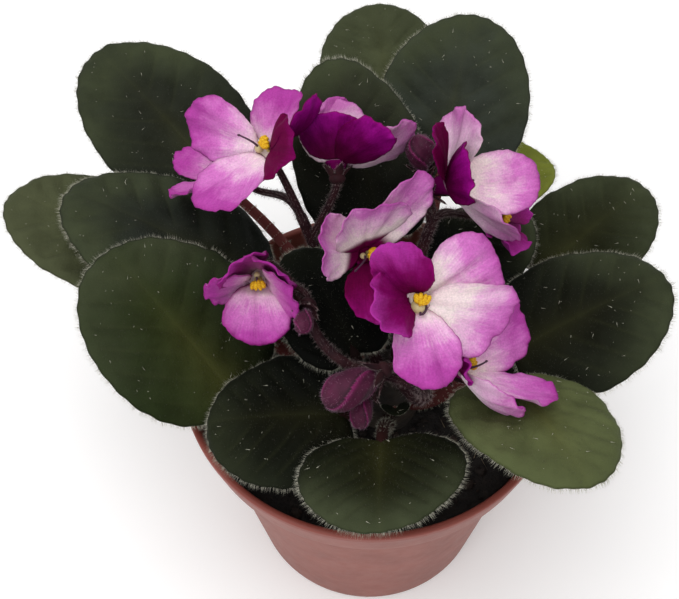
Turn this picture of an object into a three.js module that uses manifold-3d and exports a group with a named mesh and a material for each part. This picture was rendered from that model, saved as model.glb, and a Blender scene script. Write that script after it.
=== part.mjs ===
// Potted African violet: a rosette of hairy leaves and two-coloured blooms in a plain terracotta-coloured pot.
// Millimetres, +Z up, origin at the centre of the pot's underside. The front of the plant faces -Y.
import * as THREE from "three";
import { mergeVertices } from "three/addons/utils/BufferGeometryUtils.js";
import Module from "manifold-3d";

const wasm = await Module();
wasm.setup();

// ---- Pot and soil ----
const potHeight = 84;
const rimRadius = 52.5;
const collarHeight = 11.8;
const collarFootRadius = 50.3;
const shoulderRadius = 46.8;
const baseRadius = 36.5;
const wallThickness = 1.6;
const lipWidth = 1.9;
const floorThickness = 2;
const drainHoles = 8;
const drainHoleRadius = 3.5;
const drainHoleRing = 25;
const potSides = 32;
const soilDepthBelowRim = 9;
const soilLumpHeight = 1.1;
const soilRings = [0.34, 0.62, 0.84, 1];
const soilSides = 24;
const gap = 0.3;

// ---- Crown, the short stem that everything grows from ----
const crownAt = new THREE.Vector3(4, -8, 0);
const crownRadius = 9.5;
const crownFoot = 56;
const crownTop = 92;
const crownSides = 12;
const footDepth = 2;
const lowestFoot = 77.5;
const lowestFootSlope = 15;
const footSlopePerMm = 3.7;
const stalkRing = 5;

// ---- Leaves ----
const leafThickness = 1.2;
const leafTeeth = 14;
const leafToothDepth = 0.014;
const leafWobble = 0.012;
const leafOvate = 0.1;
const leafNotch = 4;
const leafRings = [0.6, 1];
const petioleSides = 5;
const petioleSteps = 5;
const petioleFootRadius = 2;
const petioleTipRadius = 1.3;
const keelLength = 0.3;
const keelDepth = 0.7;

// ---- Blooms ----
const petalThickness = 0.7;
const petalSectors = 10;
const smallPetal = 17.2;
const smallPetalSectors = 8;
const petalRings = [0.55, 1];
const petalOvate = -0.16;
const petalCup = 1.2;
const petalWobble = 0.02;
const petalReach = 1.6;
const tubeDepth = 4.6;
const tubeRadius = 2.6;
const throatRadius = 3.3;
const throatFloor = 0.6;
const throatDepth = 5;
const throatBottom = 2.4;
const throatTop = 3.5;
const antherRadius = 1.4;
const antherReach = 1.1;
const antherHeight = 3.1;
const ovaryReach = 1.3;
const ovaryHeight = 2.7;
const styleRadius = 0.4;
const styleLength = 6;
const sepalLength = 4.6;
const sepalWidth = 2;
const sepalThickness = 1;
const budSepals = 0.45;
const stalkSides = 5;

const DEG = Math.PI / 180;

// A seeded draw, so that every build gives the same lumps of soil.
let seed = 41;
function draw() {
  seed = (seed * 16807) % 2147483647;
  return seed / 2147483647;
}

// A leaf stands at the foot of its blade. Heading is its compass turn from +X, rise its first slope,
// droop how far the slope has fallen at the tip, and roll its turn about its own first direction.
// Its petiole leaves the crown at the turn and height that foot gives. A third number in foot makes the
// petiole meet the blade more steeply, and a list after it moves the petiole's middle aside.
function leaf(name, at, heading, rise, droop, length, width, cup, roll, foot, phase) {
  const margin = { notch: leafNotch, ovate: leafOvate, tooth: leafToothDepth, teeth: leafTeeth };
  return { name, at, heading, rise, droop, length, width, cup, roll, foot, phase, wobble: leafWobble, ...margin };
}

const leaves = [
  leaf("leaf_rear_left", [-42.6, 57.2, 93.6], 135, 27.5, 17.5, 62, 47.5, 2, -1, [128, 77.5, 0, [3.7, 3, 2.1]], 1),
  leaf("leaf_far_left", [-61.8, 29.8, 91.6], 151, 13, 13, 53, 38, 1, 2, [161, 77.5], 2),
  leaf("leaf_left", [-30.2, 18.7, 95.6], 155, 22, 19, 65, 45.5, -2, 6, [138, 81], 3),
  leaf("leaf_front_left", [-36.3, -16.2, 94], 133, 26, 17.5, 57, 47.5, 2, 1, [195, 79], 4),
  leaf("leaf_front_low", [-6.2, -27.4, 102.7], 178, 2, 20.5, 41.5, 38.5, -1, 2.5, [225, 83], 5),
  leaf("leaf_front", [1, -37, 108.2], -95, 25, 17.5, 32.7, 39.5, 0, 10, [270, 81], 0.5),
  leaf("leaf_front_right", [32.3, -19.9, 106.8], -64, 24, 23, 42.5, 41.5, -1, -17, [325, 82], 1.5),
  leaf("leaf_right", [36, -7.2, 97.2], 22, 22.7, 20.5, 51, 41.5, -1, -1, [-8, 79], 2.5),
  leaf("leaf_right_rear", [48.8, 24.7, 89.8], 38, 15, 11, 47, 35, 1, 0, [20, 77.5], 3.5),
  leaf("leaf_rear_right", [20.7, 47.9, 104.4], 76, 33, 14, 56, 43.5, 0, -2, [71, 79.5, 0.75], 5.5),
  leaf("leaf_rear", [10.4, 86.1, 96.2], 101, 18.5, 12.5, 44, 41, 0, -1.5, [97, 77.5], 0.8),
  leaf("leaf_rear_upper", [4.2, 25.3, 106], 108, 41, 12, 55.5, 38, -1, 5, [106, 83], 1.8),
  leaf("leaf_inner_left", [-4.6, -11, 104.9], 114, 13, 15.5, 40, 29, -1, 3, [170, 87], 2.8),
  leaf("leaf_inner_right", [20.6, 20.5, 96.6], 41, 9.5, 15.5, 37, 30, -1, -1, [40, 85], 3.8),
  leaf("leaf_old", [39.1, 55.5, 89.5], 51, 6, 20, 28.6, 25, 4, 7.5, [50, 77.5], 4.5),
  leaf("leaf_young", [5.6, -20.2, 93], -85, 40, 10, 8.5, 7.5, 1, 0, [282, 85], 4.8),
];

// A petal's numbers are heading round the throat, rise, roll, droop, length and width.
// Each bloom lists its upper right, upper left, right, lower and left petals, as seen from its front.
function bloom(name, at, heading, rise, spin, antherTurn, styleTurn, petals, depth = tubeDepth) {
  return { name, at, heading, rise, spin, antherTurn, styleTurn, petals, depth };
}

const blooms = [
  bloom("front", [8.8, -23.5, 146], -76, 40, 53, -10, 200, [
    [62, 36, -37, 32, 16.5, 13.5],
    [120, 35, 28, -20, 14, 15],
    [-34, 9, 8, 22, 19, 18],
    [-82, 7, 21, 26, 22, 19.5],
    [209, 30, -11, -3, 18.5, 16.5],
  ]),
  bloom("rear_left", [-26.9, 32.4, 135.5], -145, 70, -63, 130, 265, [
    [73, 56, 25, 36, 15.5, 17],
    [112, 14, -44, -59, 20.5, 14],
    [-8, 19, 7, 4, 22.5, 19],
    [-93, 10, -49, 0, 22, 18],
    [186, 3, -9, 0, 16.5, 14.5],
  ]),
  bloom("rear_middle", [-8.4, 31.7, 131], 90, 33, 0, 210, 180, [
    [54.7, 76.8, 14.6, 31.4, 13, 17],
    [119.5, 10, -34.9, -11.3, 21.1, 13],
    [11.3, 81.9, 47, -27.8, 17, 19.7],
    [-64.5, 62.5, 24.8, -59.8, 18.3, 15],
    [184.5, 7.2, -25.8, -34.9, 22, 15.1],
  ], 2.6),
  bloom("rear_right", [20, 24.4, 130], -7, 30, 23, 150, 270, [
    [58, 19, 2, 13, 16, 13.5],
    [102, 43, -8, -10, 15.5, 16],
    [5, 30, 60, 17, 18, 19.5],
    [-93, 45, 3, -27, 23.5, 17.5],
    [194, 30, -27, -21, 22.5, 17.5],
  ]),
  bloom("middle", [-1.6, 6.3, 124], -60, 43, 179, 165, 20, [
    [72, 38, -2, -4, 19, 17],
    [100, 23, -4, 39, 17, 15.5],
    [-35, 14, 3, -46, 20, 16],
    [-94, 48, 1, -10, 20.5, 20.5],
    [219, 23, 19, -6, 24, 15],
  ]),
  bloom("front_right", [20.1, -25.5, 121.8], -16, 29, 2, -20, 320, [
    [57, 52, -1, 20, 11.5, 10],
    [123, 52, 3, 40, 10.5, 9.5],
    [-22, 33, 10, 4, 21, 18],
    [-96, 40, -35, -22, 23.5, 16.5],
    [205, 29, -22, -61, 18, 15.5],
  ]),
  bloom("left", [-28.8, 2.5, 120.8], -90, 24, 5, 270, 270, [
    [48, 38, 0, -30, 13.5, 15],
    [117, 36, 8, -30, 13.5, 15],
    [-16, 54, 28, 10, 13.5, 16],
    [-97, 46.7, -14.3, 10.7, 16, 17],
    [190, 37, -44, 42, 12.8, 16.5],
  ]),
  bloom("far_left", [-39.2, 46.3, 111], -170, 52, 35, 270, 90, [
    [58, 40, 0, 25, 14, 13],
    [122, 40, 0, 25, 14, 13],
    [-16, 30, 0, 25, 15, 14],
    [-83, 43, 17, -11, 17.5, 15],
    [194, 22, 3, -6, 16.5, 10],
  ]),
  bloom("far_right", [34.8, 28, 112], -37, 36, 26, 270, 90, [
    [58, 40, 0, 25, 11, 10],
    [122, 40, 0, 25, 11, 10],
    [-40, 30, 0, 20, 10, 10],
    [-81, 14, -2, 62, 12.5, 12],
    [192, 42, 4, -18, 12.5, 13],
  ]),
];

// A bud hangs at the end of its stalk: its middle, its direction, its length and its width.
const buds = [
  { name: "bud_front", at: [-6.2, -26.4, 114], heading: 205, rise: -12, length: 15, width: 9.5 },
  { name: "bud_front_low", at: [-3.4, -28.2, 105.5], heading: -110, rise: -30, length: 8.5, width: 5.5 },
  { name: "bud_rear", at: [13.8, 37, 127.8], heading: 110, rise: 60, length: 10, width: 8 },
  { name: "bud_left", at: [-17.2, -10, 118.9], heading: -100, rise: 5, length: 7, width: 5 },
];

// A flower stalk runs from the crown's top through its own points, and branches run on from its end. The
// branch of an early bloom leaves it sooner, and runs straight.
const stalks = [
  {
    name: "stalk_rear_left",
    foot: 130,
    radius: 1.5,
    path: [[-6, 8, 97.5], [-13, 21.1, 102.2], [-18.3, 26.7, 115.2]],
    blooms: ["rear_left", "rear_middle", "far_left"],
    buds: [],
    early: ["rear_middle"],
  },
  {
    name: "stalk_rear_right",
    foot: 60,
    radius: 1.5,
    path: [[10, 8, 100], [13.5, 17, 110], [16, 21, 117]],
    blooms: ["rear_right", "far_right"],
    buds: ["bud_rear"],
  },
  {
    name: "stalk_front",
    foot: 310,
    radius: 1.8,
    path: [[11, -19, 96], [12.5, -22, 102], [12.4, -23.7, 106]],
    blooms: ["front", "front_right"],
    buds: ["bud_front", "bud_front_low"],
  },
  {
    name: "stalk_left",
    foot: 240,
    radius: 1.3,
    path: [[-1, -15.5, 103], [-7, -16, 108.5], [-13.5, -10.2, 111], [-19.5, 1.5, 116.5]],
    blooms: ["left"],
    buds: ["bud_left"],
  },
  {
    name: "stalk_middle",
    foot: 10,
    radius: 1.3,
    path: [[8, -3, 99], [6, 6, 108]],
    blooms: ["middle"],
    buds: [],
  },
];

// ---- Solids ----

// Points and triangles become a manifold-3d solid.
function solidFrom(points, faces) {
  const vertProperties = new Float32Array(points.flatMap((p) => [p.x, p.y, p.z]));
  const triVerts = new Uint32Array(faces.flat());
  return new wasm.Manifold(new wasm.Mesh({ numProp: 3, vertProperties, triVerts }));
}

// A closed three.js geometry becomes a manifold-3d solid.
function solidOf(geometry) {
  const bare = geometry.clone();
  bare.deleteAttribute("normal");
  bare.deleteAttribute("uv");
  const merged = mergeVertices(bare, 1e-4);
  const vertProperties = merged.attributes.position.array;
  const triVerts = new Uint32Array(merged.index.array);
  return new wasm.Manifold(new wasm.Mesh({ numProp: 3, vertProperties, triVerts }));
}

function join(solids) {
  return solids.reduce((whole, piece) => whole.add(piece));
}

function meshOf(solid, name, material) {
  const made = solid.getMesh();
  const stride = made.numProp;
  const positions = new Float32Array(made.numVert * 3);
  for (let i = 0; i < made.numVert; i++) {
    positions.set(made.vertProperties.subarray(i * stride, i * stride + 3), i * 3);
  }
  const geometry = new THREE.BufferGeometry();
  geometry.setAttribute("position", new THREE.BufferAttribute(positions, 3));
  geometry.setIndex(new THREE.BufferAttribute(new Uint32Array(made.triVerts), 1));
  geometry.computeVertexNormals();
  const mesh = new THREE.Mesh(geometry, material);
  mesh.name = name;
  return mesh;
}

// A round tube with closed ends along points, with a radius at each, turned without twist.
function tubeSolid(points, radii, sides) {
  const ring = [];
  const faces = [];
  const last = points.length - 1;
  const tangents = points.map((p, i) =>
    new THREE.Vector3().subVectors(points[Math.min(i + 1, last)], points[Math.max(i - 1, 0)]).normalize(),
  );
  const across = new THREE.Vector3(0.3, 0.2, 1);
  if (Math.abs(tangents[0].z) > 0.9) across.set(1, 0.1, 0);
  points.forEach((p, k) => {
    across.addScaledVector(tangents[k], -across.dot(tangents[k])).normalize();
    const side = new THREE.Vector3().crossVectors(tangents[k], across);
    for (let i = 0; i < sides; i++) {
      const turn = (i * 2 * Math.PI) / sides;
      const out = across.clone().multiplyScalar(Math.cos(turn)).addScaledVector(side, Math.sin(turn));
      ring.push(p.clone().addScaledVector(out, radii[k]));
    }
  });
  for (let k = 0; k < last; k++) {
    for (let i = 0; i < sides; i++) {
      const j = (i + 1) % sides;
      faces.push([k * sides + i, k * sides + j, (k + 1) * sides + j]);
      faces.push([k * sides + i, (k + 1) * sides + j, (k + 1) * sides + i]);
    }
  }
  const start = ring.push(points[0].clone()) - 1;
  const end = ring.push(points[last].clone()) - 1;
  for (let i = 0; i < sides; i++) {
    const j = (i + 1) % sides;
    faces.push([start, j, i]);
    faces.push([end, last * sides + i, last * sides + j]);
  }
  return solidFrom(ring, faces);
}

function blend(a, b, count) {
  return Array.from({ length: count }, (_, i) => a + ((b - a) * i) / (count - 1));
}

// ---- Blades ----

// One point of a leaf or petal. r runs from 0 at its middle to 1 at its margin, and phi turns round it,
// 0 at the tip. The margin is an ellipse, egg-shaped by ovate, with waves, teeth and a notch at the foot.
// The sheet is cupped across, then bent along its length on an arc from rise to rise minus droop.
function bladePoint(blade, r, phi, side) {
  const { length, width, droop, phase } = blade;
  const away = Math.PI - Math.abs(phi);
  const teeth = blade.tooth * Math.cos(blade.teeth * phi) * Math.min(away / 0.8, 1);
  const waves = blade.wobble * (Math.sin(3 * phi + phase) + 0.6 * Math.sin(2 * phi + 2.1 * phase));
  const crest = 1 + teeth + waves;
  const foot = blade.notch * Math.exp(-((away / 0.35) ** 2));
  const x = r * 0.5 * width * Math.sin(phi) * (1 - blade.ovate * Math.cos(phi)) * crest;
  const y = 0.5 * length - blade.notch + r * (0.5 * length * Math.cos(phi) * crest + foot);
  const h = blade.cup * ((2 * x) / width) ** 2 + side;
  const start = blade.rise * DEG;
  const bend = (droop * DEG) / length;
  const slope = start - bend * y;
  let along = y * Math.cos(start);
  let up = y * Math.sin(start);
  if (Math.abs(bend) > 1e-6) {
    along = (Math.sin(start) - Math.sin(slope)) / bend;
    up = (Math.cos(slope) - Math.cos(start)) / bend;
  }
  return new THREE.Vector3(x, along - h * Math.sin(slope), up + h * Math.cos(slope));
}

// Turns and moves a blade from its own frame, foot at the origin and tip towards +Y, to where it grows.
function bladeMatrix(blade) {
  const first = new THREE.Vector3(0, Math.cos(blade.rise * DEG), Math.sin(blade.rise * DEG));
  const roll = new THREE.Matrix4().makeRotationAxis(first, blade.roll * DEG);
  const turn = new THREE.Matrix4().makeRotationZ((blade.heading - 90) * DEG);
  const move = new THREE.Matrix4().makeTranslation(...blade.at);
  return move.multiply(turn).multiply(roll);
}

// A blade's solid: rings of points on both faces, split into triangles alike, and a rim between them.
// All rings but the last have half its number of sectors.
function bladeSolid(blade, sectors, rings, thickness) {
  const matrix = bladeMatrix(blade);
  const half = sectors / 2;
  const points = [];
  const faces = [];
  const rimStart = 1 + half * (rings.length - 1);
  const faceSize = rimStart + sectors;
  for (const side of [thickness / 2, -thickness / 2]) {
    points.push(bladePoint(blade, 0, 0, side));
    rings.forEach((r, k) => {
      const count = k < rings.length - 1 ? half : sectors;
      for (let i = 0; i < count; i++) {
        points.push(bladePoint(blade, r, -Math.PI + (i * 2 * Math.PI) / count, side));
      }
    });
  }
  const upper = [];
  const at = (k, i) => 1 + k * half + (i % half);
  const rim = (i) => rimStart + (i % sectors);
  for (let i = 0; i < half; i++) {
    upper.push([0, at(0, i + 1), at(0, i)]);
    for (let k = 0; k < rings.length - 2; k++) {
      upper.push([at(k, i), at(k, i + 1), at(k + 1, i + 1)]);
      upper.push([at(k, i), at(k + 1, i + 1), at(k + 1, i)]);
    }
    const k = rings.length - 2;
    upper.push([at(k, i), rim(2 * i + 1), rim(2 * i)]);
    upper.push([at(k, i), at(k, i + 1), rim(2 * i + 1)]);
    upper.push([at(k, i + 1), rim(2 * i + 2), rim(2 * i + 1)]);
  }
  for (const [a, b, c] of upper) {
    faces.push([a, b, c]);
    faces.push([a + faceSize, c + faceSize, b + faceSize]);
  }
  for (let i = 0; i < sectors; i++) {
    faces.push([rim(i), rim(i + 1), rim(i + 1) + faceSize]);
    faces.push([rim(i), rim(i + 1) + faceSize, rim(i) + faceSize]);
  }
  points.forEach((p) => p.applyMatrix4(matrix));
  return solidFrom(points, faces);
}

// ---- Leaves with their petioles ----

// The petiole leaves the crown's side outwards and upwards, and meets the blade along its midrib.
function petiolePath(blade) {
  const [turn, height, lift = 0, aside = [0, 0, 0]] = blade.foot;
  const slope = (lowestFootSlope + (height - lowestFoot) * footSlopePerMm) * DEG;
  const out = new THREE.Vector3(Math.cos(turn * DEG), Math.sin(turn * DEG), 0);
  const foot = crownAt.clone().addScaledVector(out, crownRadius - footDepth);
  foot.z = height;
  const first = out.clone().multiplyScalar(Math.cos(slope));
  first.z = Math.sin(slope);
  const matrix = bladeMatrix(blade);
  const base = bladePoint(blade, 1, Math.PI, -keelDepth).applyMatrix4(matrix);
  const keel = bladePoint(blade, 1 - 2 * keelLength, Math.PI, -keelDepth).applyMatrix4(matrix);
  const last = new THREE.Vector3().subVectors(keel, base).normalize();
  last.z += lift;
  last.normalize();
  const bow = foot.distanceTo(base) * 0.34;
  const shift = new THREE.Vector3(...aside);
  const before = foot.clone().addScaledVector(first, bow).add(shift);
  const after = base.clone().addScaledVector(last, -bow).add(shift);
  const points = new THREE.CubicBezierCurve3(foot, before, after, base).getPoints(petioleSteps);
  points.push(keel);
  return points;
}

function petioleRadii(blade, extra) {
  const scale = Math.min(1, blade.length / 40 + 0.2);
  const radii = blend(petioleFootRadius * scale, petioleTipRadius * scale, petioleSteps + 1);
  radii.push(0.6);
  return radii.map((r) => r + extra);
}

function leafSolid(blade) {
  const petiole = tubeSolid(petiolePath(blade), petioleRadii(blade, 0), petioleSides);
  return bladeSolid(blade, leafTeeth * 2, leafRings, leafThickness).add(petiole);
}

// ---- Blooms ----

// The frame of a bloom or bud: +Z is the way it faces, +Y points between its two upper petals.
function bloomMatrix({ at, heading, rise, spin = 0 }) {
  const facing = new THREE.Vector3(
    Math.cos(rise * DEG) * Math.cos(heading * DEG),
    Math.cos(rise * DEG) * Math.sin(heading * DEG),
    Math.sin(rise * DEG),
  );
  const top = new THREE.Vector3(
    -Math.sin(rise * DEG) * Math.cos(heading * DEG),
    -Math.sin(rise * DEG) * Math.sin(heading * DEG),
    Math.cos(rise * DEG),
  ).applyAxisAngle(facing, spin * DEG);
  const right = new THREE.Vector3().crossVectors(top, facing);
  return new THREE.Matrix4().makeBasis(right, top, facing).setPosition(...at);
}

function petalBlade([heading, rise, roll, droop, length, width]) {
  const at = [petalReach * Math.cos(heading * DEG), petalReach * Math.sin(heading * DEG), 0];
  const shape = { notch: 0, ovate: petalOvate, tooth: 0, teeth: 0, wobble: petalWobble, cup: petalCup };
  return { at, heading, rise, roll, droop, length, width, phase: heading / 30, ...shape };
}

// A ball with its own radius along each axis.
function ball(radii, at, sides = 6) {
  return new THREE.SphereGeometry(1, sides, 4).scale(...radii).translate(...at);
}

// Five petals fused to a short tube, with a throat cut into it. It lies in the bloom's own frame.
function corollaSolid(flower) {
  const petals = flower.petals.map((numbers) => {
    const blade = petalBlade(numbers);
    const sectors = blade.length < smallPetal ? smallPetalSectors : petalSectors;
    return bladeSolid(blade, sectors, petalRings, petalThickness);
  });
  const profile = [
    [0, -flower.depth],
    [tubeRadius, -flower.depth],
    [throatRadius, -0.5],
    [throatRadius, throatFloor],
    [0, throatFloor],
  ].map(([r, z]) => new THREE.Vector2(r, z));
  const tube = solidOf(new THREE.LatheGeometry(profile, 7).rotateX(Math.PI / 2));
  const throat = new THREE.CylinderGeometry(throatTop, throatBottom, throatDepth, 6);
  throat.rotateX(Math.PI / 2).translate(0, 0, throatFloor + throatDepth / 2);
  return join([tube, ...petals]).subtract(solidOf(throat));
}

// Two yellow lobes side by side, on a short filament.
function antherSolid(flower) {
  const turn = flower.antherTurn * DEG;
  const lobes = [-1, 1].map((side) => {
    const apart = side * antherRadius * 0.8;
    const x = antherReach * Math.cos(turn) - apart * Math.sin(turn);
    const y = antherReach * Math.sin(turn) + apart * Math.cos(turn);
    return solidOf(ball([antherRadius, antherRadius, antherRadius * 0.85], [x, y, antherHeight]));
  });
  const foot = new THREE.Vector3(antherReach * Math.cos(turn), antherReach * Math.sin(turn), throatFloor + gap);
  const filament = tubeSolid([foot, foot.clone().setZ(antherHeight)], [0.6, 0.6], 3);
  return join([...lobes, filament]);
}

// A pale ovary with one thin style that leans out of the throat.
function pistilSolid(flower) {
  const turn = (flower.antherTurn + 180) * DEG;
  const lean = flower.styleTurn * DEG;
  const base = new THREE.Vector3(ovaryReach * Math.cos(turn), ovaryReach * Math.sin(turn), throatFloor + gap);
  const width = ovaryHeight * 0.47;
  const ovary = solidOf(ball([width, width, ovaryHeight / 2], [base.x, base.y, base.z + ovaryHeight / 2], 5));
  const root = base.clone().setZ(base.z + ovaryHeight * 0.6);
  const knee = root.clone().add(new THREE.Vector3(0, 0, 2.2));
  const out = new THREE.Vector3(0.75 * Math.cos(lean), 0.75 * Math.sin(lean), 0.66);
  const tip = root.clone().addScaledVector(out, styleLength);
  const path = new THREE.QuadraticBezierCurve3(root, knee, tip).getPoints(3);
  const style = tubeSolid(path, path.map(() => styleRadius), 3);
  return ovary.add(style);
}

// ---- Flower stalks ----

// A flat pointed sepal, eight-faced, from the calyx outwards.
function sepal(turn, length, tilt) {
  const geometry = new THREE.OctahedronGeometry(0.5).scale(length, sepalWidth, sepalThickness);
  return geometry.translate(length * 0.5 + 0.7, 0, 0).rotateY(-tilt).rotateZ(turn);
}

// The calyx behind a bloom or bud: a small cup and five sepals, placed by the bloom's frame.
function calyxSolid(matrix, depth, length, tilt) {
  const cup = ball([2.3, 2.3, 1.6], [0, 0, -depth - gap - 1.65], 5);
  const sepals = [0, 1, 2, 3, 4].map((i) =>
    sepal((36 + i * 72) * DEG, length, tilt).translate(0, 0, -depth - gap - 1.2),
  );
  return join([cup, ...sepals].map((geometry) => solidOf(geometry.applyMatrix4(matrix))));
}

// A bud: an egg with five shallow folds, pointed at its tip, lying along +Z of its own frame.
function budSolid(bud) {
  const geometry = new THREE.SphereGeometry(0.5, 10, 5).rotateX(Math.PI / 2);
  const position = geometry.attributes.position;
  const p = new THREE.Vector3();
  for (let i = 0; i < position.count; i++) {
    p.fromBufferAttribute(position, i);
    const turn = Math.atan2(p.y, p.x);
    const across = bud.width * (1 + 0.07 * Math.cos(5 * turn)) * (1 - 0.35 * p.z);
    position.setXYZ(i, p.x * across, p.y * across, p.z * bud.length);
  }
  return solidOf(geometry);
}

// The end of a pedicel: just behind a calyx, with the way it has to arrive.
function pedicelEnd(matrix, depth) {
  const end = new THREE.Vector3(0, 0, -depth - gap - 2.4).applyMatrix4(matrix);
  const way = new THREE.Vector3(0, 0, 1).transformDirection(matrix);
  return { end, way };
}

// A point above or below the crown's top, where a stalk grows out of it.
function stalkFoot(stalk, height) {
  const foot = crownAt.clone().setZ(crownTop + height);
  foot.x += stalkRing * Math.cos(stalk.foot * DEG);
  foot.y += stalkRing * Math.sin(stalk.foot * DEG);
  return foot;
}

function stalkSolid(stalk) {
  const foot = stalkFoot(stalk, -footDepth);
  const through = [stalkFoot(stalk, 1), ...stalk.path.map((p) => new THREE.Vector3(...p))];
  const points = [foot, ...new THREE.CatmullRomCurve3(through).getPoints(stalk.path.length * 2)];
  const pieces = [tubeSolid(points, blend(stalk.radius * 1.1, stalk.radius, points.length), stalkSides)];
  const [sooner, fork] = points.slice(-2);
  const onward = new THREE.Vector3().subVectors(fork, sooner).normalize();
  const ends = [
    ...stalk.blooms.map((name) => {
      const flower = blooms.find((b) => b.name === name);
      return [bloomMatrix(flower), flower.depth, sepalLength, 0.25, stalk.early?.includes(name)];
    }),
    ...stalk.buds.map((name) => {
      const bud = buds.find((b) => b.name === name);
      return [bloomMatrix(bud), bud.length / 2, bud.width * budSepals, 0.55];
    }),
  ];
  for (const [matrix, depth, length, tilt, early] of ends) {
    const { end, way } = pedicelEnd(matrix, depth);
    const away = early ? new THREE.Vector3().subVectors(end, sooner).normalize() : onward;
    const start = (early ? sooner : fork).clone().addScaledVector(away, -0.6);
    const bow = start.distanceTo(end) * (early ? 0.15 : 0.4);
    const before = start.clone().addScaledVector(away, bow);
    const after = end.clone().addScaledVector(way, -bow);
    const path = new THREE.CubicBezierCurve3(start, before, after, end).getPoints(4);
    pieces.push(tubeSolid(path, blend(stalk.radius * 0.8, 0.9, path.length), stalkSides));
    pieces.push(calyxSolid(matrix, depth, length, tilt));
  }
  return join(pieces);
}

// ---- Pot, soil and crown ----

function latheSolid(profile, sides, x = 0, y = 0) {
  const points = profile.map(([r, z]) => new THREE.Vector2(r, z));
  return solidOf(new THREE.LatheGeometry(points, sides).rotateX(Math.PI / 2).translate(x, y, 0));
}

function potSolid() {
  const shoulder = potHeight - collarHeight;
  const inner = (r) => r - wallThickness;
  const shell = latheSolid(
    [
      [0, 0],
      [baseRadius, 0],
      [shoulderRadius, shoulder],
      [collarFootRadius, shoulder],
      [rimRadius, potHeight],
      [rimRadius - lipWidth, potHeight],
      [inner(collarFootRadius), shoulder + floorThickness],
      [inner(shoulderRadius), shoulder],
      [inner(baseRadius), floorThickness],
      [0, floorThickness],
    ],
    potSides,
  );
  const holes = Array.from({ length: drainHoles }, (_, i) => {
    const turn = (i * 2 * Math.PI) / drainHoles;
    const pin = new THREE.CylinderGeometry(drainHoleRadius, drainHoleRadius, floorThickness * 3, 8);
    pin.rotateX(Math.PI / 2);
    pin.translate(drainHoleRing * Math.cos(turn), drainHoleRing * Math.sin(turn), floorThickness / 2);
    return solidOf(pin);
  });
  return holes.reduce((pot, hole) => pot.subtract(hole), shell);
}

// Soil fills the pot up to a lumpy top; it keeps clear of the wall and floor all round.
function soilSolid(crown) {
  const shoulder = potHeight - collarHeight;
  const top = potHeight - soilDepthBelowRim;
  const wallAt = (z) => baseRadius + ((shoulderRadius - baseRadius) * z) / shoulder - wallThickness - gap;
  const topRadius = collarFootRadius - wallThickness - gap;
  const floor = floorThickness + gap;
  const points = [new THREE.Vector3(0, 0, floor), new THREE.Vector3(0, 0, top)];
  const faces = [];
  const addRing = (radius, heightAt) => {
    const start = points.length;
    for (let i = 0; i < soilSides; i++) {
      const turn = (i * 2 * Math.PI) / soilSides;
      points.push(new THREE.Vector3(radius * Math.cos(turn), radius * Math.sin(turn), heightAt()));
    }
    return start;
  };
  const chord = Math.cos(Math.PI / potSides);
  const low = addRing(wallAt(floor) * chord, () => floor);
  const neck = addRing(wallAt(shoulder) * chord, () => shoulder);
  const tops = soilRings.map((f) =>
    addRing(topRadius * f * chord, () => top + (f < 1 ? (draw() - 0.5) * 2 * soilLumpHeight : 0)),
  );
  const band = (a, b) => {
    for (let i = 0; i < soilSides; i++) {
      const j = (i + 1) % soilSides;
      faces.push([a + i, a + j, b + j]);
      faces.push([a + i, b + j, b + i]);
    }
  };
  band(low, neck);
  band(neck, tops[tops.length - 1]);
  for (let k = tops.length - 1; k > 0; k--) band(tops[k], tops[k - 1]);
  for (let i = 0; i < soilSides; i++) {
    const j = (i + 1) % soilSides;
    faces.push([0, low + j, low + i]);
    faces.push([1, tops[0] + i, tops[0] + j]);
  }
  return solidFrom(points, faces).subtract(crown);
}

function crownColumn(extra) {
  return latheSolid(
    [
      [0, crownFoot - extra],
      [crownRadius - 2 + extra, crownFoot - extra],
      [crownRadius + extra, crownFoot + 14],
      [crownRadius + extra, crownTop - 3],
      [crownRadius - 2.5 + extra, crownTop + extra],
      [0, crownTop + extra],
    ],
    crownSides,
    crownAt.x,
    crownAt.y,
  );
}

// The crown, with a socket for every petiole and flower stalk.
function crownSolid() {
  let crown = crownColumn(0);
  for (const blade of leaves) {
    const path = petiolePath(blade).slice(0, 4);
    const back = new THREE.Vector3().subVectors(path[0], path[1]).normalize();
    path[0].addScaledVector(back, gap);
    crown = crown.subtract(tubeSolid(path, petioleRadii(blade, gap).slice(0, 4), petioleSides));
  }
  for (const stalk of stalks) {
    const socket = [stalkFoot(stalk, -gap - footDepth), stalkFoot(stalk, 1)];
    const radius = stalk.radius * 1.1 + gap;
    crown = crown.subtract(tubeSolid(socket, [radius, radius], stalkSides));
  }
  return crown;
}

// ---- Materials and assembly ----

function material(color, roughness) {
  return new THREE.MeshStandardMaterial({ color, roughness, metalness: 0, flatShading: true });
}

const terracotta = material(0x8f6157, 0.55);
const soilMix = material(0x1d1815, 1);
const crownGreen = material(0x5a4a38, 0.8);
const leafGreen = material(0x3d4d38, 0.85);
const oldLeafGreen = material(0x76863b, 0.8);
const corollaPink = material(0xc869bd, 0.6);
const antherYellow = material(0xe2b21c, 0.6);
const pistilPurple = material(0x5b1440, 0.6);
const stalkRed = material(0x53302f, 0.75);
const budPurple = material(0x7d3a66, 0.7);

const plant = new THREE.Group();
const potGroup = new THREE.Group();
potGroup.add(meshOf(potSolid(), "pot", terracotta));
potGroup.add(meshOf(soilSolid(crownColumn(gap)), "soil", soilMix));

const leafGroup = new THREE.Group();
leafGroup.add(meshOf(crownSolid(), "crown", crownGreen));
for (const blade of leaves) {
  const paint = blade.name === "leaf_old" ? oldLeafGreen : leafGreen;
  leafGroup.add(meshOf(leafSolid(blade), blade.name, paint));
}

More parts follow.
